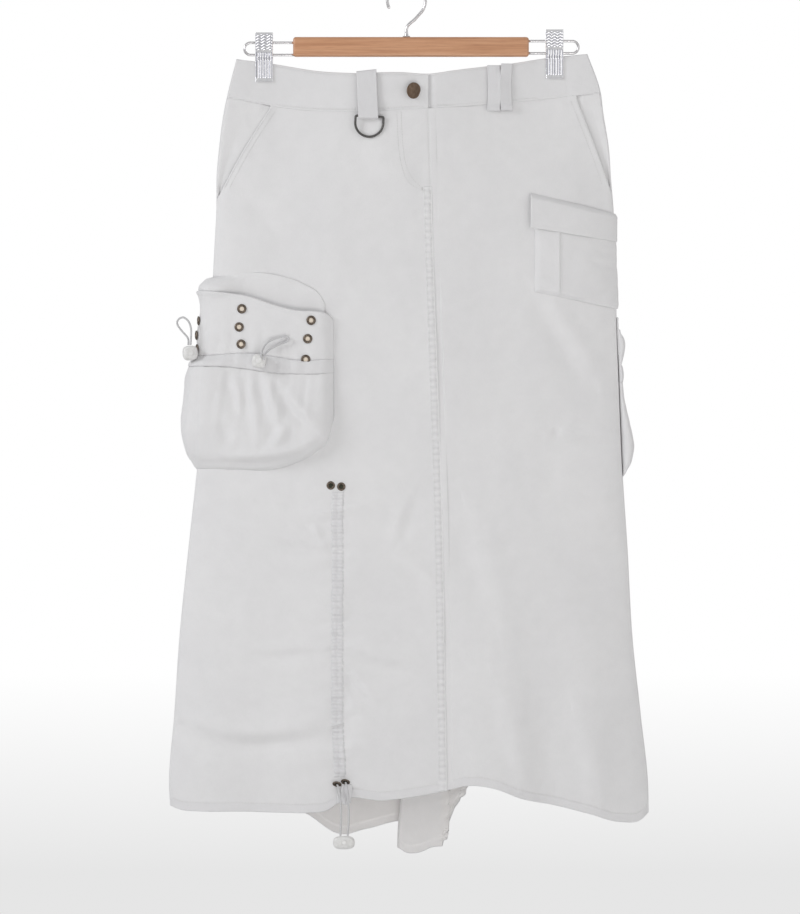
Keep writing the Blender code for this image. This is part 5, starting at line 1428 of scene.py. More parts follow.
def back_panel():
    """The back in one piece, longer than the front, with a tail that folds forward over itself."""
    fold_lines = 1 + FOLD_STEPS + LAYER_STEPS + FOLD_STEPS
    outer = steps((0, 2.4, 0.8), (2.4, 12, 2.4), (12, SIDE_ZONE, 3.3))
    right_shares = steps((0.0, 0.25, 0.0105), (0.25, TAIL_FOLD[0], 0.0088))[1:-1]
    fold_shares = np.linspace(TAIL_FOLD[0], TAIL_FOLD[0] + FOLD_WIDTH, fold_lines)
    left_shares = steps((TAIL_FOLD[0] + FOLD_WIDTH, 0.76, 0.0042), (0.76, 1.0, 0.0105))[1:-1]
    beside_right, plain, folded, beside_left = range(4)
    columns = ((beside_right, outer), (plain, right_shares), (folded, fold_shares), (plain, left_shares),
               (beside_left, outer[::-1]))
    kind = np.concatenate([np.full(len(values), code) for code, values in columns])
    value = np.concatenate([values for _, values in columns])
    first_fold = int(np.argmax(kind == folded))
    table = BACK_LINES_RIGHT + ((TAIL_FOLD[0], TAIL_FOLD[1], TAIL_FOLD_DROP, 0),)
    top_layer_x = TAIL_FOLD[1] - TAIL_FOLD[2]
    left_table = ((TAIL_FOLD[0] + FOLD_WIDTH, top_layer_x, FOLD_DROPS[3], 2 * sum(FOLD_RADII)),) + BACK_LINES_LEFT
    hem_position = np.array([0.0, FOLD_STEPS, FOLD_STEPS + LAYER_STEPS, 2 * FOLD_STEPS + LAYER_STEPS])

    def straight(across, drop):
        return mix(side_edge(RIGHT, drop) + SIDE_ZONE, side_edge(LEFT, drop) - SIDE_ZONE, across)

    def layout(index, row):
        """X, drop, how far forward, whether on a side seam, the side, and the hem's drop there."""
        i = len(kind) - 1 - index.astype(int)
        k, v = kind[i], value[i]
        growth = (row - TAIL_START) / (1 - TAIL_START)
        slid, grown = smooth(growth), smooth(growth / TAIL_STANDS)
        hand = np.where(k == beside_right, RIGHT, LEFT)
        # the turns of the sides
        side_top, side_hem = from_side(hand, v, SEAM_LEVEL["side"]), from_side(hand, v, HEM_LEVEL)
        side_foot = read_curve(FRONT_HEM, side_hem) - np.minimum(SIDE_LIFT, v * 0.3)
        side_drop = mix(read_curve(BAND_SEAM, side_top) + BAND_GAP / 2, side_foot, row)
        # between them
        across = np.where((k == plain) | (k == folded), v, 0.5)
        left_part = across > TAIL_FOLD[0] + FOLD_WIDTH
        hem_x = np.where(left_part, read(left_table, across, 1), read_curve(table, across, 1))
        hem = np.where(left_part, read(left_table, across, 2), read_curve(table, across, 2))
        forward = np.where(left_part, read(left_table, across, 3), 0.0)
        number = np.clip(i - first_fold, 0, fold_lines - 1)
        hem = np.where(k == folded, np.interp(number, hem_position, FOLD_DROPS), hem)
        top = read_curve(BAND_SEAM, straight(across, SEAM_LEVEL["back"])) + BAND_GAP / 2
        drop = mix(top, hem, row)
        xs, forwards = tail_section(np.clip(growth[0], 0, None))
        rows_down = np.arange(row.shape[1])[None, :]
        risen = forwards[-1][rows_down] / (2 * sum(FOLD_RADII))
        plain_x = straight(across, drop) + slid * (hem_x - straight(across, hem))
        at_fold_foot = straight(TAIL_FOLD[0], np.full_like(drop, TAIL_FOLD_DROP))
        fold_x = straight(TAIL_FOLD[0], drop) + slid * (TAIL_FOLD[1] - at_fold_foot)
        folded_x = mix(straight(across, drop), fold_x + xs[number, rows_down], grown)
        x = np.where(k == folded, folded_x, plain_x)
        forward = np.where(k == folded, forwards[number, rows_down] * grown, forward * np.minimum(1.0, risen))
        sides = (k == beside_right) | (k == beside_left)
        return (np.where(sides, from_side(hand, v, side_drop), x), np.where(sides, side_drop, drop),
                np.where(sides, 0.0, forward), sides & (v == 0), hand, np.where(sides, side_foot, hem))

    def shape(index, row):
        x, drop, forward, seam, hand, hem = layout(index, row)
        centre = np.exp(-((x - 4.0) / 1.0) ** 2) * smooth((700 - drop) / 40)
        relief = swelling(x, drop, (0.9, 65, 150, 61), (0.35, 26, 45, 63), (0.1, 8, 13, 65))
        edge = np.minimum(np.abs(x - side_edge(RIGHT, drop)), np.abs(side_edge(LEFT, drop) - x))
        relief = relief * smooth(edge / 12) - 0.5 * centre + hem_relief(x, hem - drop)
        # the ruched right-hand edge of the tail
        ruched = smooth((x - 38) / 10) * smooth((98 - x) / 16) * smooth((drop - 870) / 50) * (forward > 3)
        relief = relief + ruched * 0.45 * np.sin(2 * np.pi * (drop + 0.5 * x) / 15.0)
        px, py, pz = wall(BACK, x, drop, relief)
        return np.where(seam, from_side(hand, 0.0, drop), px), np.where(seam, SEAM_GAP / 2, py - forward), pz

    # painted shade: where the tail lies folded over itself, and at the hem turn, the colour is painted darker, as
    # doubled cloth lets less backlight through
    def layers(index, row):
        x, drop, forward, _, _, hem = layout(index, row)
        tail = 1.2 * smooth((forward - 6) / 2) * smooth((44 - x) / 6) * smooth((drop - 880) / 20)
        return 1 + np.maximum(tail, 0.5 * smooth((HEM_TURN - (hem - drop)) / 0.8))

    rows = steps((0, 3, 1.0), (3, 12, 3.0), (12, 700, 4.0), (700, 788, 2.2), (788, 797, 1.1),
                 (797, FRONT_LENGTH, 0.8)) / FRONT_LENGTH
    # painted light: the inside face wears the brighter, warmer reverse twill, a painted glow of backlight through the
    # cloth
    panel = cut_cloth("back_panel", np.arange(len(kind)), rows, shape, layers=layers, lined=True)
    return hang(panel, TWILL_CLOTH, ["waistband_back"], "back_panel", reverse=TWILL_REVERSE_GLOW)


# ================================================================ waistband
def side_beside(spans, k):
    """The side of a "near" column; it comes before or after all the columns that have an x."""
    others = [at for kind, at in spans if kind == "x"]
    first = next(j for j, (kind, _) in enumerate(spans) if kind == "x")
    return RIGHT if (others[0] if k < first else others[-1]) < 0 else LEFT


def waistband(name, face, spans, under=None):
    """A stretch of the band; its columns are (kind, place): x, or mm in from a side edge."""
    places = np.array([at for _, at in spans], float)
    near = np.array([kind == "near" for kind, _ in spans])
    hands = np.array([side_beside(spans, k) if kind == "near" else 0 for k, (kind, _) in enumerate(spans)])

    def shape(index, row):
        i = index.astype(int)
        hand = hands[i]

        def place(drop):
            return np.where(near[i], from_side(hand, places[i], drop), places[i])

        top = read_curve(WAIST_EDGE, place(WAIST_LEVEL))
        foot = read_curve(BAND_SEAM, place(SEAM_LEVEL["side"])) - BAND_GAP / 2
        drop = mix(top, foot, row)
        x = place(drop)
        inward = 0.0 if under is None else under(x)
        from_top, to_foot = drop - top, foot - drop
        relief = np.where(from_top < to_foot, rolled(from_top, 1.6, 0.8), rolled(to_foot, 0.8, 0.12))
        relief = relief + stitched_in(from_top - BAND_STITCHES[0], 0.25) + stitched_in(to_foot - 2.4, 0.25)
        relief = relief + creased(BAND_CREASES, x, drop) * (face == FRONT) + 0.4 * uneven(x, drop, 26, 15, 71)
        relief = relief + 0.08 * np.sin(2 * np.pi * x / 8.0) * np.exp(-((to_foot - 2.4) / 4.0) ** 2)
        px, py, pz = wall(face, x, drop, relief - inward)
        on_seam = near[i] & (places[i] == 0)
        return np.where(on_seam, from_side(hand, 0.0, drop), px), np.where(on_seam, face * SEAM_GAP / 2, py), pz

    rows = steps((0, 0.06, 0.015), (0.06, 0.94, 0.045), (0.94, 1, 0.015))
    # painted shade: the doubled band takes a slightly darker colour
    return cut_cloth(name, np.arange(len(spans)), rows, shape, BAND_CLOTH, layers=1.3)


def waistbands():
    near = [("near", v) for v in (0.0, 0.8, 2.0, 4.5, 8.0, 12.0)]
    fly = float(read_curve(CENTRE_SEAM, 120.0))
    right_in, left_in = (float(from_side(hand, BAND_SIDE_ZONE, WAIST_LEVEL)) for hand in (RIGHT, LEFT))
    right = [("x", v) for v in steps((right_in, fly - 3, 2.6), (fly - 3, fly, 0.75))]
    left = [("x", v) for v in steps((fly - 25, fly - 1, 4.0), (fly - 1, fly + 9, 1.25), (fly + 9, left_in, 2.6))]
    back = [("x", v) for v in steps((left_in, right_in, 3.0))]
    lap = BAND_CLOTH + LAP_GAP
    band = waistband("waistband_front_right", FRONT, near + right)
    hang(band, TWILL_CLOTH, ["hanger_clip_right"], "waistband_front_right")
    band = waistband("waistband_front_left", FRONT, left + near[::-1],
                     under=lambda x: lap * smooth((fly + 9 - x) / 9.0))
    hang(band, TWILL_CLOTH, ["hanger_clip_left"], "waistband_front_left")
    band = waistband("waistband_back", BACK, near + back + near[::-1])
    hang(band, TWILL_CLOTH, ["hanger_clip_left", "hanger_clip_right"], "waistband_back")


front_panel(RIGHT)
front_panel(LEFT)
felled_seam()
hip_piece(RIGHT)
hip_piece(LEFT)
back_panel()
waistbands()


# ================================================================ on the band
# painted shade: the doubled belt loops take a darker colour
LOOP_LAYER_SHADE = 2.2


def loop_columns(width):
    return steps((0, 1.2, 0.4), (1.2, width - 1.2, 1.6), (width - 1.2, width, 0.4)) - width / 2


def belt_loop(name, face, middle, width, top, foot, twist):
    """A plain loop, bowed out between its two stitched ends."""

    def shape(at, row):
        at = at if face == FRONT else -at
        drop = mix(top, foot, row)
        x = middle + at + twist * np.sin(np.pi * row) * 2.0
        bowed = np.sin(np.pi * row) ** 0.7
        stand = TWILL + LAP_GAP + LOOP_SLACK * bowed + twist * at * 0.22 * np.sin(np.pi * row) \
            + 1.3 * smooth((row - 0.86) / 0.05) * smooth((1.0 - row) / 0.03)
        inside = width / 2 - np.abs(at)
        stand = stand + rolled(inside, 1.2, 0.5) + stitched_in(np.abs(inside - 2.4), 0.2) \
            + 0.25 * uneven(x, drop, 6, 9, 81) + 0.5 * np.exp(-np.minimum(row, 1 - row) / 0.03)
        return x, face * (depth(face, x, drop) + stand), -drop

    piece = cut_cloth(name, loop_columns(width), steps((0, 0.06, 0.02), (0.06, 0.94, 0.03), (0.94, 1, 0.02)), shape,
                      layers=LOOP_LAYER_SHADE)
    return hang(piece, TWILL_CLOTH, ["waistband_back" if face == BACK else "waistband_front_left"], name)


def ring_axis():
    """Y and z of the bar that the ring turns about."""
    middle, _, _, drop = TAB_LOOP
    foot = drop + RING_HEIGHT
    stand = max(float(depth(FRONT, middle, drop)) + RING_WIRE + TWILL + 3 * LAP_GAP,
                float(depth(FRONT, middle, foot)) + RING_WIRE + 0.6)
    return -stand, -drop


def tab_loop():
    """The wide loop: down the band, round the D-ring's bar and up behind it."""
    middle, width, top, bar = TAB_LOOP
    axis_y, axis_z = ring_axis()
    outer = RING_WIRE + 0.35 + TWILL
    down = 26                                     # rows before it turns under the bar
    path = []
    for share in np.linspace(0, 1, down):
        drop = mix(top - 4.0, bar - 4.5, share)
        stand = TWILL + LAP_GAP + LOOP_SLACK * math.sin(math.pi * share) ** 0.7
        flush = -(max(float(depth(FRONT, middle + edge * width / 2, drop)) for edge in (-1, 1)) + stand)
        path.append((mix(flush, min(flush, axis_y - outer), float(smooth((share - 0.6) / 0.4))), -drop))
    for angle in np.linspace(0, 180, 17):
        bend = math.radians(angle)
        path.append((axis_y - outer * math.cos(bend), axis_z - outer * math.sin(bend)))
    path.append((axis_y + outer, axis_z + 2.2))
    path = np.array(path)

    def shape(at, row):
        i = row.astype(int)
        upper = np.clip(1 - row / down, 0, 1)
        inside = width / 2 - np.abs(at)
        lift = rolled(inside, 1.2, 0.5) + stitched_in(np.abs(inside - 2.6), 0.2) \
            + 0.3 * uneven(at, -path[i, 1], 8, 9, 83) * (i < down - 2)
        return middle + at - 2.2 * upper, path[i, 0] - lift * (i < down), path[i, 1] + 0.11 * at * upper

    piece = cut_cloth("belt_loop_front_right", loop_columns(width), np.arange(len(path)), shape, layers=LOOP_LAYER_SHADE)
    return hang(piece, TWILL_CLOTH, ["waistband_front_right"], "belt_loop_front_right")


def d_ring():
    """The ring's straight bar, and the bow below it, closed; it leans a little."""
    half = RING_WIDTH / 2 - RING_WIRE
    straight = RING_HEIGHT - 2 * RING_WIRE - half
    points = [(half * share, 0, 0) for share in np.linspace(-0.86, 0.86, 9)]
    points += [(half * 0.95, 0, -0.25), (half * 0.995, 0, -1.0), (half, 0, -2.2)]
    points += [(half * math.cos(a), 0, -straight - half * math.sin(a)) for a in np.linspace(0, math.pi, 37)]
    points += [(-half, 0, -2.2), (-half * 0.995, 0, -1.0), (-half * 0.95, 0, -0.25)]
    axis = np.array((TAB_LOOP[0] + RING_ASIDE, *ring_axis()))
    lean = math.radians(3.5)
    turned = [(p[0] * math.cos(lean) + p[2] * math.sin(lean), p[1], p[2] * math.cos(lean) - p[0] * math.sin(lean))
              for p in points]
    ring = tube("d_ring_wire", [axis + p for p in np.array(turned)], RING_WIRE, sides=14, closed=True)
    return wear(ring, GUNMETAL, "ring_metal", "d_ring", body="d_ring")


def waist_button():
    x, drop, radius = BUTTON
    r = radius * 1.1
    profile = ((0.02, 3.0), (r * 0.25, 2.94), (r * 0.5, 2.74), (r * 0.7, 2.42), (r * 0.82, 2.08), (r * 0.86, 2.2),
               (r * 0.93, 2.2), (r * 0.98, 1.9), (r, 1.5), (r * 0.98, 1.1), (r * 0.9, 0.6), (r * 0.5, 0.2), (0.02, 0.2))
    button = smoothed(lathe("waist_button_turned", profile, 48), 42)
    point = np.array(wall(FRONT, x, drop, LAP_GAP + 2.2), float)
    button.data.transform(facing(point, (0.62, -1, -0.1)))
    return wear(button, BRONZE, "button_metal", "waist_button")


for plain_loop in BELT_LOOPS:
    belt_loop(*plain_loop)
tab_loop()
d_ring()
waist_button()


# ================================================================ flap pocket
def flap_columns(start):
    """Zones and places round the left side: along the front, round the edge, onto the back."""
    front = [(-1, v) for v in steps((start, start + 2.4, 0.6), (start + 2.4, 172.6, 2.4), (172.6, 177.4, 0.6),
                                    (177.4, 236.0, 2.2))]
    side = [(0, v) for v in ROUND_SIDE]
    back = [(1, v) for v in steps((236.0, 219.0, 2.2), (219.0, 216.6, 0.6))]
    return front + side + back


def flap_stand(x, edge):
    """How far the pocket's cloth stands off the skirt."""
    return mix(2.0, 4.6, smooth(np.abs(edge - x) / 45))


def wrapped_place(zone, at):
    """X along the front, carried on past the side edge onto the back."""
    edge = side_edge(LEFT, FLAP_LEVEL)
    return np.where(zone < 0, at, np.where(zone == 0, edge, 2 * edge - at))


def flap_pocket():
    """The bellows body with its pleat, and the flap over it."""
    low = TWILL + LAP_GAP

    def make(name, table, rows, stand_at):
        columns = flap_columns(table[0][0])
        zones, ats = np.array([c[0] for c in columns]), np.array([c[1] for c in columns], float)

        def shape(index, row):
            i = index.astype(int)
            zone, at = zones[i], ats[i]
            place = wrapped_place(zone, at)
            top, foot = read_curve(table, place, 1), read_curve(table, place, 2)
            drop = mix(top, foot, row)
            edge = side_edge(LEFT, drop)
            x = np.where(zone == 0, edge, at)
            return on_skirt(LEFT, zone, at, drop, stand_at(zone, x, edge, place, drop, top, foot))

        # painted shade: the doubled pocket cloth takes a slightly darker colour
        piece = cut_cloth(name, np.arange(len(columns)), rows, shape, ease=2, layers=1.3)
        hang(piece, TWILL_CLOTH, ["front_left_panel"], name)

    def body_stand(zone, x, edge, place, drop, top, foot):
        inside = np.minimum(place - FLAP_BODY[0][0], foot - drop)
        full = flap_stand(x, edge) + 1.2 * np.sin(np.pi * np.clip((drop - top) / (foot - top), 0, 1)) \
            * smooth(np.minimum(place - 150, 236 - x) / 14)
        wrinkles = swelling(place, drop, (0.55, 15, 20, 91), (0.25, 7, 8, 93)) + creased(POCKET_CREASES, place, drop)
        before = PLEAT_X - 0.5 - place                 # the pleat's fold stands up and ends in an edge
        pleat = 1.5 * smooth(1 - before / 8.0) * smooth(0.5 + before / 0.9)
        pleat = pleat - 0.5 * np.exp(-((before + 0.8) / 0.9) ** 2)
        rise = smooth(inside / 5.0)
        return low + (full - low) * rise + (wrinkles + pleat) * rise + rolled(inside, 1.2, 0.4) \
            + stitched_in(inside - 2.0, 0.3)

    def flap_stand_at(zone, x, edge, place, drop, top, foot):
        from_top, to_foot = drop - top, foot - drop
        clear = np.where(zone == 0, 0.3, mix(0.6, 1.8, smooth(np.abs(edge - x) / 30)))
        stand = flap_stand(x, edge) + TWILL + clear
        lift = low + (stand - low) * smooth(from_top / 7.0)
        ridge = 0.9 * np.exp(-((from_top - 3.5) / 2.4) ** 2)
        edges = np.minimum(to_foot, place - FLAP_EDGE[0][0])
        wave = swelling(place, drop, (0.5, 22, 26, 95), (0.2, 8, 9, 97))
        return lift + ridge + rolled(np.minimum(edges, from_top), 1.4, 0.6) + stitched_in(edges - 5.0, 0.3) \
            + stitched_in(from_top - 7.0, 0.35) + wave * smooth(from_top / 6) * 0.8

    make("flap_pocket_body", FLAP_BODY, steps((0, 0.9, 0.028), (0.9, 0.97, 0.012), (0.97, 1, 0.006)), body_stand)
    make("flap_pocket_flap", FLAP_EDGE, steps((0, 0.06, 0.015), (0.06, 0.9, 0.045), (0.9, 1, 0.015)), flap_stand_at)


flap_pocket()


# ================================================================ pouches
def gather_wave(line):
    """Gathers stand up and lie down on every other grid line of the solid, unevenly."""
    return np.cos(np.pi * line) * (0.75 + 0.25 * np.sin(2.3 * np.round(line)))


def tight_wave(line):
    """The closer puckers of the casing, which run on into the bag."""
    return np.cos(2 * np.pi * line * 1.2 + 1.3 * np.sin(line))


def pouch(name, spec, last, creases):
    """Yoke, casing and bag of a pouch, which has so many grid lines in its solids."""
    hand = spec["hand"]
    lines = np.linspace(0, last, last * PER_LINE + 1)

    def layout(index):
        line = lines[index.astype(int)]
        zone, at = pouch_station(spec, line)
        return line, zone, at, pouch_edges(spec, zone, at)

    def small(line, drop, seed):
        return swelling(line * 8, drop, (0.45, 13, 15, seed), (0.2, 6, 7, seed + 1))

    def yoke(index, row):
        line, zone, at, (top, foot, _, _) = layout(index)
        drop = mix(top, foot + 1.0, row)
        swell = 0.35 * GATHER * gather_wave(line) * smooth(row * 1.2 - 0.15) + 1.0 * small(line, drop, 101)
        swell = swell + 0.5 * np.exp(-((drop - top - 2.2) / 2.0) ** 2) + rolled(drop - top, 1.4, 0.8) \
            + stitched_in(drop - top - 6.0, 0.3) - 0.5 * smooth((drop - foot + 1.0) / 1.8)
        fine = 0.35 * np.sin(2 * np.pi * line * 1.37 + 0.8) * smooth((row - 0.55) / 0.4)
        return pouch_point(spec, zone, at, drop, swell + fine)

    def casing(index, row):
        line, zone, at, (_, top, foot, _) = layout(index)
        drop = mix(top, foot, row)
        round_it = np.sin(np.pi * row) ** 0.6
        puckers = 0.8 * tight_wave(line) * (0.35 + 0.65 * round_it)
        round_it = np.maximum(round_it, 0.25 * smooth(row * 4 - 2))
        return pouch_point(spec, zone, at, drop, CASING_SWELL * round_it + 0.35 * GATHER * gather_wave(line) + puckers)

    def bag(index, row):
        line, zone, at, (_, _, top, foot) = layout(index)
        drop = mix(top - 0.8, foot, row)
        lift = np.interp(row, (0.0, 0.12, 0.3, 0.5, 0.68, 0.84, 0.95, 1.0), (0.35, 1.0, 1.0, 0.7, 0.4, 0.2, 0.0, 0.0))
        swell = 0.55 * lift * GATHER * gather_wave(line + 0.5 * np.sin(row * 4 + 1.7 * line))
        swell = swell + 1.1 * tight_wave(line) * np.exp(-row / 0.12)
        x = pouch_x(spec, zone, at, drop)
        swell = swell + 1.9 * creased(creases, x, drop) * (zone < 0) + 1.6 * small(line, drop, 111) * smooth(row * 6)
        swell = swell - 0.5 * np.exp(-row / 0.015)
        swell = swell + stitched_in(foot - drop - 2.2, 0.35) + stitched_in(foot - drop - 9.0, 0.5)
        return pouch_point(spec, zone, at, drop, swell)

    side = "front_right_panel" if hand == RIGHT else "back_panel"
    # the last number of each band is painted shade: the doubled yoke and bag are a little darker, the casing darker
    # still
    bands = (("yoke", yoke, steps((0, 0.08, 0.02), (0.08, 1.0, 0.04)), 1.15, 1.2),
             ("casing", casing, steps((0, 1, 0.08)), 1.3, 1.8),
             ("bag", bag, steps((0, 0.1, 0.02), (0.1, 0.9, 0.022), (0.9, 1, 0.012)), 1.25, 1.2))
    turns = ((4, 5), (11, 12)) if hand == RIGHT else ((3, 4),)

    def taut(shape):
        """Between the side and the front or back the cloth runs straight across."""
        def pulled(index, row):
            places = np.stack(np.broadcast_arrays(*shape(index, row)), axis=-1).astype(float)
            for start, end in turns:
                first, final_one = start * PER_LINE, end * PER_LINE
                for k in range(first + 1, final_one):
                    places[k] = mix(places[first], places[final_one], (k - first) / (final_one - first))
            return places[..., 0], places[..., 1], places[..., 2]
        return pulled

    for part, shape, rows, fullness, layers in bands:
        piece = cut_cloth(f"{name}_{part}", np.arange(len(lines)), rows, taut(shape), ease=2, layers=layers)
        hang(piece, TWILL_CLOTH, [side], f"{name}_{part}", held="gathered", fullness=fullness)


def backing(name, spec, arch):
    """The flat piece on the skirt behind a pouch's mouth; its arched top shows above the mouth."""
    hand = spec["hand"]
    face = FRONT if hand == RIGHT else BACK
    top_side, end = SIDE_TOPS[hand], arch[-1][0]
    table = sorted(arch)
    # codes: 0 round the side by angle, 1 on the back and 2 on the pouch's face by mm in, 3 there by x
    if hand == RIGHT:
        stations = [(1, v, top_side) for v in steps((30, 2, 2.8))] + [(0, v, top_side) for v in ROUND_SIDE[::-1]]
    else:
        stations = [(0, v, top_side) for v in (56, 28, 0, -22, -44, -66)]
    stations += [(2, v, mix(top_side, arch[0][1], v / 30)) for v in steps((2, 28, 2.6))]
    inner = steps((arch[0][0], end + 2.4 * hand, 2.6), (end + 2.4 * hand, end, 0.6))
    stations += [(3, v, float(read_curve(table, v))) for v in inner]
    code, value, tops = (np.array([s[k] for s in stations], float) for k in range(3))

    def shape(index, row):
        i = index.astype(int)
        drop = mix(tops[i], BACKING_FOOT[hand], row)
        edge = side_edge(hand, drop)
        zone = np.where(code[i] == 0, 0, np.where(code[i] == 1, 1, face))
        at = np.where((code[i] == 1) | (code[i] == 2), edge - hand * value[i], value[i])
        inside = drop - tops[i]
        out = TWILL + LAP_GAP + rolled(inside, 1.2, 0.5) + stitched_in(inside - 5.0, 0.35) \
            + 0.15 * np.sin(2 * np.pi * value[i] / 9.0) * np.exp(-((inside - 5) / 5) ** 2) \
            + 0.3 * uneven(at, drop, 18, 14, 121) * smooth(inside / 5)
        if hand == RIGHT:
            beside = np.where(zone == 0, 1.0, 1 - smooth(np.abs(edge - at) / SIDE_TO_FLAT))
            out = out + beside * np.minimum(14.5 * np.sqrt(np.clip((drop - top_side) / 11.0, 0, 1)),
                                            read_curve(spec["side"], drop) - 3.6)
        return on_skirt(hand, zone, at, drop, out)

    piece = cut_cloth(name, np.arange(len(stations)), steps((0, 0.12, 0.02), (0.12, 1, 0.06)), shape, ease=1)
    hang(piece, TWILL_CLOTH, ["front_right_panel" if hand == RIGHT else "back_panel"], name)


pouch("side_pocket", SIDE_POUCH, 29, BAG_CREASES)
pouch("back_pocket", BACK_POUCH, 24, ())
backing("side_pocket_backing", SIDE_POUCH, SIDE_ARCH)
backing("back_pocket_backing", BACK_POUCH, BACK_ARCH)


# ================================================================ ruching channel
def ruching_channel():
    """Two narrow tunnels side by side, drawn up into short puckers by the cords inside."""
    middle, width, top, foot = CHANNEL
    across = steps((-0.5, -0.42, 0.027), (-0.42, 0.42, 0.06), (0.42, 0.5, 0.027))

    def shape(share, row):
        drop = mix(top, foot, row)
        turn = row * CHANNEL_PUCKERS + 0.25 * uneven(share * 8, drop, 5, 12, 131)
        wave = 1 - np.abs(np.sin(np.pi * turn)) ** 0.8
        tunnels = np.abs(np.sin(2 * np.pi * share)) ** 0.7
        stand = 0.35 + 0.75 * tunnels - 0.5 * wave * (0.35 + 0.65 * tunnels) \
            + 0.3 * uneven(share * 12, drop, 6, 9, 133)
        at_edge = smooth((np.abs(share) - 0.41) / 0.07)
        x = middle + share * width + 0.5 * uneven(share * 0, drop, 10, 14, 135) + 3.0 * row * smooth((row - 0.8) * 5)
        x = x + 0.35 * np.sin(2 * np.pi * turn) * at_edge * np.sign(share)
        return front_face(x, drop, np.maximum(stand, 0.15) * (1 - 0.75 * at_edge))

    # painted shade: the doubled strip is darker, most of all in the dips between its puckers, with a little random
    # variation
    def layers(share, row):
        dip = 1 - np.abs(np.sin(np.pi * row * CHANNEL_PUCKERS)) ** 0.6
        return 1.9 + 0.9 * dip + 0.5 * uneven(share * 10, row * 323, 5, 16, 139)

    rows = np.linspace(0, 1, CHANNEL_PUCKERS * 6 + 1)
    piece = cut_cloth("ruching_channel", across, rows, shape, layers=layers)
    hang(piece, TWILL_CLOTH, ["front_right_panel"], "ruching_channel", held="gathered", fullness=1.3)


def bunched_hem():
    """The bit of hem under the channel's lower eyelets, gathered up by the cords."""
    width = 16.0
    across = steps((0, 1.2, 0.4), (1.2, width - 1.2, 0.8), (width - 1.2, width, 0.4))

    def shape(at, row):
        drop = mix(913.5, 936.0 - 1.5 * np.sin(at * 0.5), row)
        gathers = 0.5 + 0.5 * np.sin(2 * np.pi * (at / 5.4 + 0.2 * np.sin(row * 5)))
        inside = np.minimum(at, width - at)
        full = np.sin(np.pi * np.clip(row * 0.85 + 0.15, 0, 1)) ** 0.6
        stand = 0.3 + (1.2 + 2.6 * gathers * full) * smooth(inside / 2.2)
        x = CHANNEL[0] + at + 0.8 * np.sin(row * 6 + at * 0.4)
        return wall(FRONT, x, drop, stand + 0.5 * uneven(at, drop, 3, 5, 137))

    # painted shade: the gathered, doubled hem takes a darker colour
    piece = cut_cloth("bunched_hem", across, steps((0, 1, 0.04)), shape, layers=2.0)
    hang(piece, TWILL_CLOTH, ["front_right_panel"], held="gathered", fullness=1.3)


ruching_channel()
bunched_hem()


# ================================================================ hanger
def hanger():
    """The wooden bar, its two wire loops, the hook and the two clips."""
    start, end, top, foot, thickness = BAR
    bar = block("hanger_bar_wood", ((start + end) / 2, 0, -(top + foot) / 2), (end - start, thickness, foot - top))
    apply_modifier(bar, "BEVEL", width=3.2 * MM, segments=6)
    wear(smoothed(bar, 30), WOOD, "wood", "hanger_bar")

    for hand, (far, upper) in WIRE_LOOPS.items():
        near = (start if hand == RIGHT else end) - hand * 1.0
        bend = WIRE_SPACING / 2
        centre = far - hand * bend
        points = [(mix(near, centre, share), 0, -upper) for share in np.linspace(0, 0.95, 14)]
        points += [(centre + hand * bend * math.sin(a), 0, -upper - bend * (1 - math.cos(a)))
                   for a in np.linspace(0, math.pi, 25)]
        points += [(mix(near, centre, share), 0, -upper - WIRE_SPACING) for share in np.linspace(0.95, 0, 14)]
        name = f"hanger_wire_{SIDE[hand]}"
        wear(tube(name + "_drawn", points, WIRE_RADIUS, sides=14), STEEL, "steel", name)

    centre_z = HOOK_RADIUS - HOOK_BEND
    route = [(0, 0, -(top + 1.0)), (0, 0, -58), (0, 0, -54), (1.2, 0, -49.6), (4.5, 0, -46.0), (9.0, 0, -42.3)]
    route += [(HOOK_BEND * math.cos(math.radians(d)), 0, centre_z + HOOK_BEND * math.sin(math.radians(d)))
              for d in range(-46, 211, 12)]
    hook = tube("hanger_hook_bent", curve_through(route, 150), HOOK_RADIUS, sides=16,
                bulge=lambda t: 1.0 - 0.35 * np.clip((t - 0.985) / 0.015, 0, 1) ** 2)
    profile = ((0.3, 0.0), (4.2, 0.0), (4.5, 0.5), (4.2, 1.2), (2.4, 1.8), (2.2, 3.6), (0.3, 3.7))
    collar = smoothed(lathe("hook_collar", profile, 32), 40)
    collar.data.transform(Matrix.Translation((0, 0, -top * MM)))
    wear(joined("hanger_hook_bent", [hook, collar]), STEEL, "steel", "hanger_hook")

    for hand, (middle, clip_top, clip_foot) in CLIPS.items():
        clip(hand, middle, clip_top, clip_foot)


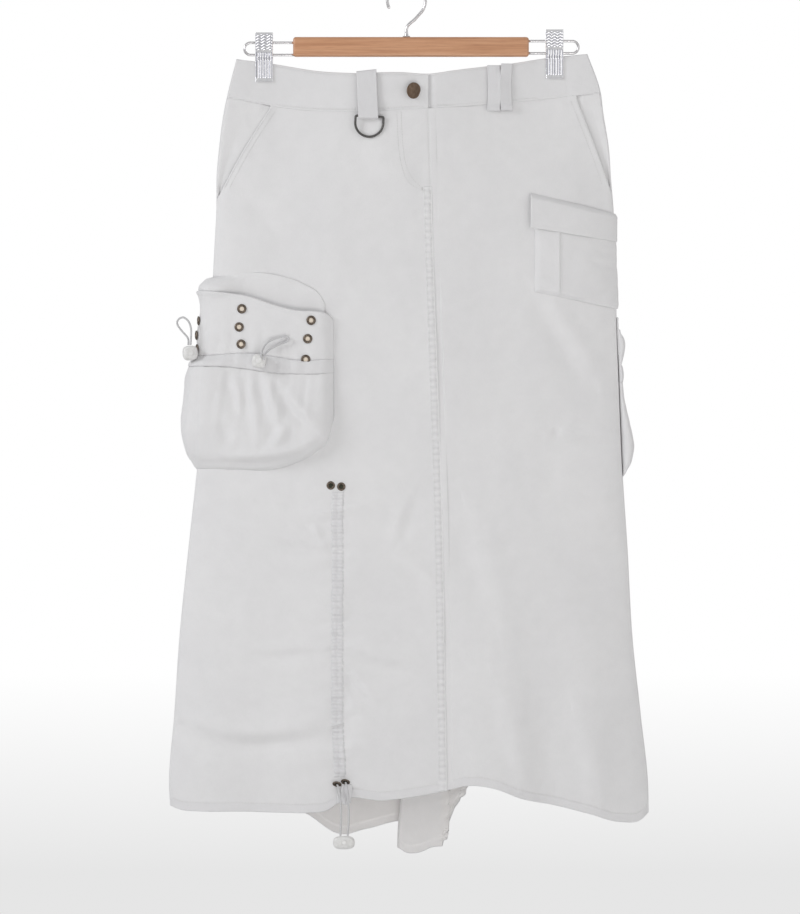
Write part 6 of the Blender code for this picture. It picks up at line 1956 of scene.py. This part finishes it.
def clip(hand, middle, top, foot):
    """Two pressed jaws with zigzag ridges above and ribs below, and the bridge between the wires."""
    upper = WIRE_LOOPS[hand][1] + WIRE_RADIUS + SEAM_GAP
    lower = WIRE_LOOPS[hand][1] + WIRE_SPACING - WIRE_RADIUS - SEAM_GAP
    throat = lower + 2 * WIRE_RADIUS + 1
    jaw = GRIP + SEAM_GAP
    profile = ((JAW_OPEN + JAW_THICKNESS, top), (JAW_OPEN + JAW_THICKNESS, lower), (JAW_OPEN + JAW_THICKNESS, throat),
               (jaw + JAW_THICKNESS, throat + 4), (jaw + JAW_THICKNESS, foot - 3), (jaw + 0.8 + JAW_THICKNESS, foot))
    half = CLIP_WIDTH / 2
    across = steps((-half, -half + 1.2, 0.3), (-half + 1.2, half - 1.2, 0.45), (half - 1.2, half, 0.3))
    name = f"hanger_clip_{SIDE[hand]}"
    third = top + (foot - top) * ZIGZAG_SHARE

    def pressed(at, drop):
        """Ridges and ribs from 0 to 1."""
        zig = np.abs(((at / RIDGE_PITCH) % 2.0) - 1.0) * RIDGE_SWING
        return (np.abs(np.sin(np.pi * (drop - top + zig) / RIDGE_PITCH)), np.abs(np.sin(np.pi * at / RIB_PITCH)))

    def covered(drop, gap):
        """Where the ridges are, and where the ribs are, a gap below them."""
        return (smooth(drop - top - 2.0) * smooth(third - drop),
                smooth(drop - third - gap) * smooth(foot - JAW_FRAME - drop))

    # painted shade: how far into a pressed groove a point lies, which the chrome darkens
    def groove_shade(at, row):
        drop = mix(top, foot, row)
        (ridges, ribs), (above, below) = pressed(at, drop), covered(drop, 2.0)
        return smooth(1.6 * (1 - ridges) - 0.4) * above + smooth(1.7 * (1 - ribs) - 0.3) * below

    parts = []
    for face in (FRONT, BACK):
        def shape(at, row):
            at = at if face == FRONT else -at
            drop = mix(top, foot, row)
            y = read([(d, v) for v, d in profile], drop)
            (ridges, ribs), (above, below) = pressed(at, drop), covered(drop, 2.5)
            framed = smooth((half - 1.1 - np.abs(at)) / 0.6)
            lift = framed * (0.75 * (ridges ** 0.7 - 0.6) * above + 0.8 * (ribs ** 0.8 - 0.55) * below)
            lift = lift + rolled(np.minimum(half - np.abs(at), drop - top), 1.0, 0.7) \
                + 0.35 * np.exp(-((foot - drop - 2.6) / 0.8) ** 2)
            return middle + at, face * (y + lift), -drop

        parts.append(cut_cloth(name, across, steps((0, 1, 0.0075)), shape, JAW_THICKNESS, layers=groove_shade))
    bridge = block("clip_bridge", (middle, 0, -(upper + lower) / 2),
                   (CLIP_WIDTH * 0.86, (JAW_OPEN + 0.5) * 2, lower - upper))
    apply_modifier(bridge, "BEVEL", width=0.8 * MM, segments=3)
    item = smoothed(joined(name + "_pressed", parts + [bridge]), 50)
    if "flat" in item:
        del item["flat"]
    wear(item, CHROME, "chrome", name)


hanger()


# ================================================================ topstitching
def topstitching():
    """The rows of stitches on the front, and those on the waistband."""
    lift = 0.12
    lines = []

    def along(xs, drops, out=lift):
        lines.append(np.array(front_face(xs, drops, out)).T)

    # front hem, on both fronts
    for start, end in ((-266.0, 44.0), (54.0, 272.0)):
        xs = np.arange(start, end, ROW_STEP)
        along(xs, read_curve(FRONT_HEM, xs) - HEM_TURN, lift + 0.05)
    # centre seam: two rows beside its edge, from the fly's foot down; above it the fly's J
    drops = np.arange(238.0, 912.0, ROW_STEP)
    for into in SEAM_ROWS:
        along(read_curve(CENTRE_SEAM, drops) - into, drops, lift + 0.5)
    drops = np.arange(150.0, 238.0, ROW_STEP)
    along(read_curve(CENTRE_SEAM, drops) - SEAM_ROWS[0], drops)
    for shift in (0.0, 5.0):
        j = curve_through([(-6.0 - shift, 0, 149.0), (-5.0 - shift, 0, 175.0), (-2.0 - shift, 0, 203.0),
                           (5.0 - shift * 0.8, 0, 222.0 + shift), (17.7, 0, 234.8 + shift * 0.6),
                           (26.0, 0, 238.0 + shift * 0.5)], 44)
        along(np.array([p[0] for p in j]), np.array([p[2] for p in j]))
    # bar tack at the fly's foot
    for k in range(5):
        along(np.linspace(17.7, 27.0, 4), np.full(4, 234.6 + 0.7 * k), lift + 0.1)
    # pocket mouths
    for hand, table, ends in ((RIGHT, RIGHT_MOUTH, (145.0, 240.0)), (LEFT, LEFT_MOUTH, (136.0, 233.0))):
        drops = np.arange(*ends, ROW_STEP)
        for inside in (2.0, 8.0):
            xs = read_curve(table, drops) - hand * inside
            out = front_relief(xs, drops) * smooth(inside / 10) + lift + 0.1
            lines.append(np.array(wall(FRONT, xs, drops, out)).T)
    sew("stitching_front", lines)

    lines = []
    for face, start, end in ((FRONT, -148.0, 24.0), (FRONT, 30.0, 156.0), (BACK, -148.0, 157.0)):
        xs = np.arange(start, end, ROW_STEP)
        for table, inside in zip((WAIST_EDGE, BAND_SEAM), BAND_STITCHES):
            lines.append(np.array(wall(face, xs, read_curve(table, xs) + inside, 0.15)).T)
    sew("stitching_waistband", lines)


topstitching()
bpy.data.objects.remove(STITCH)
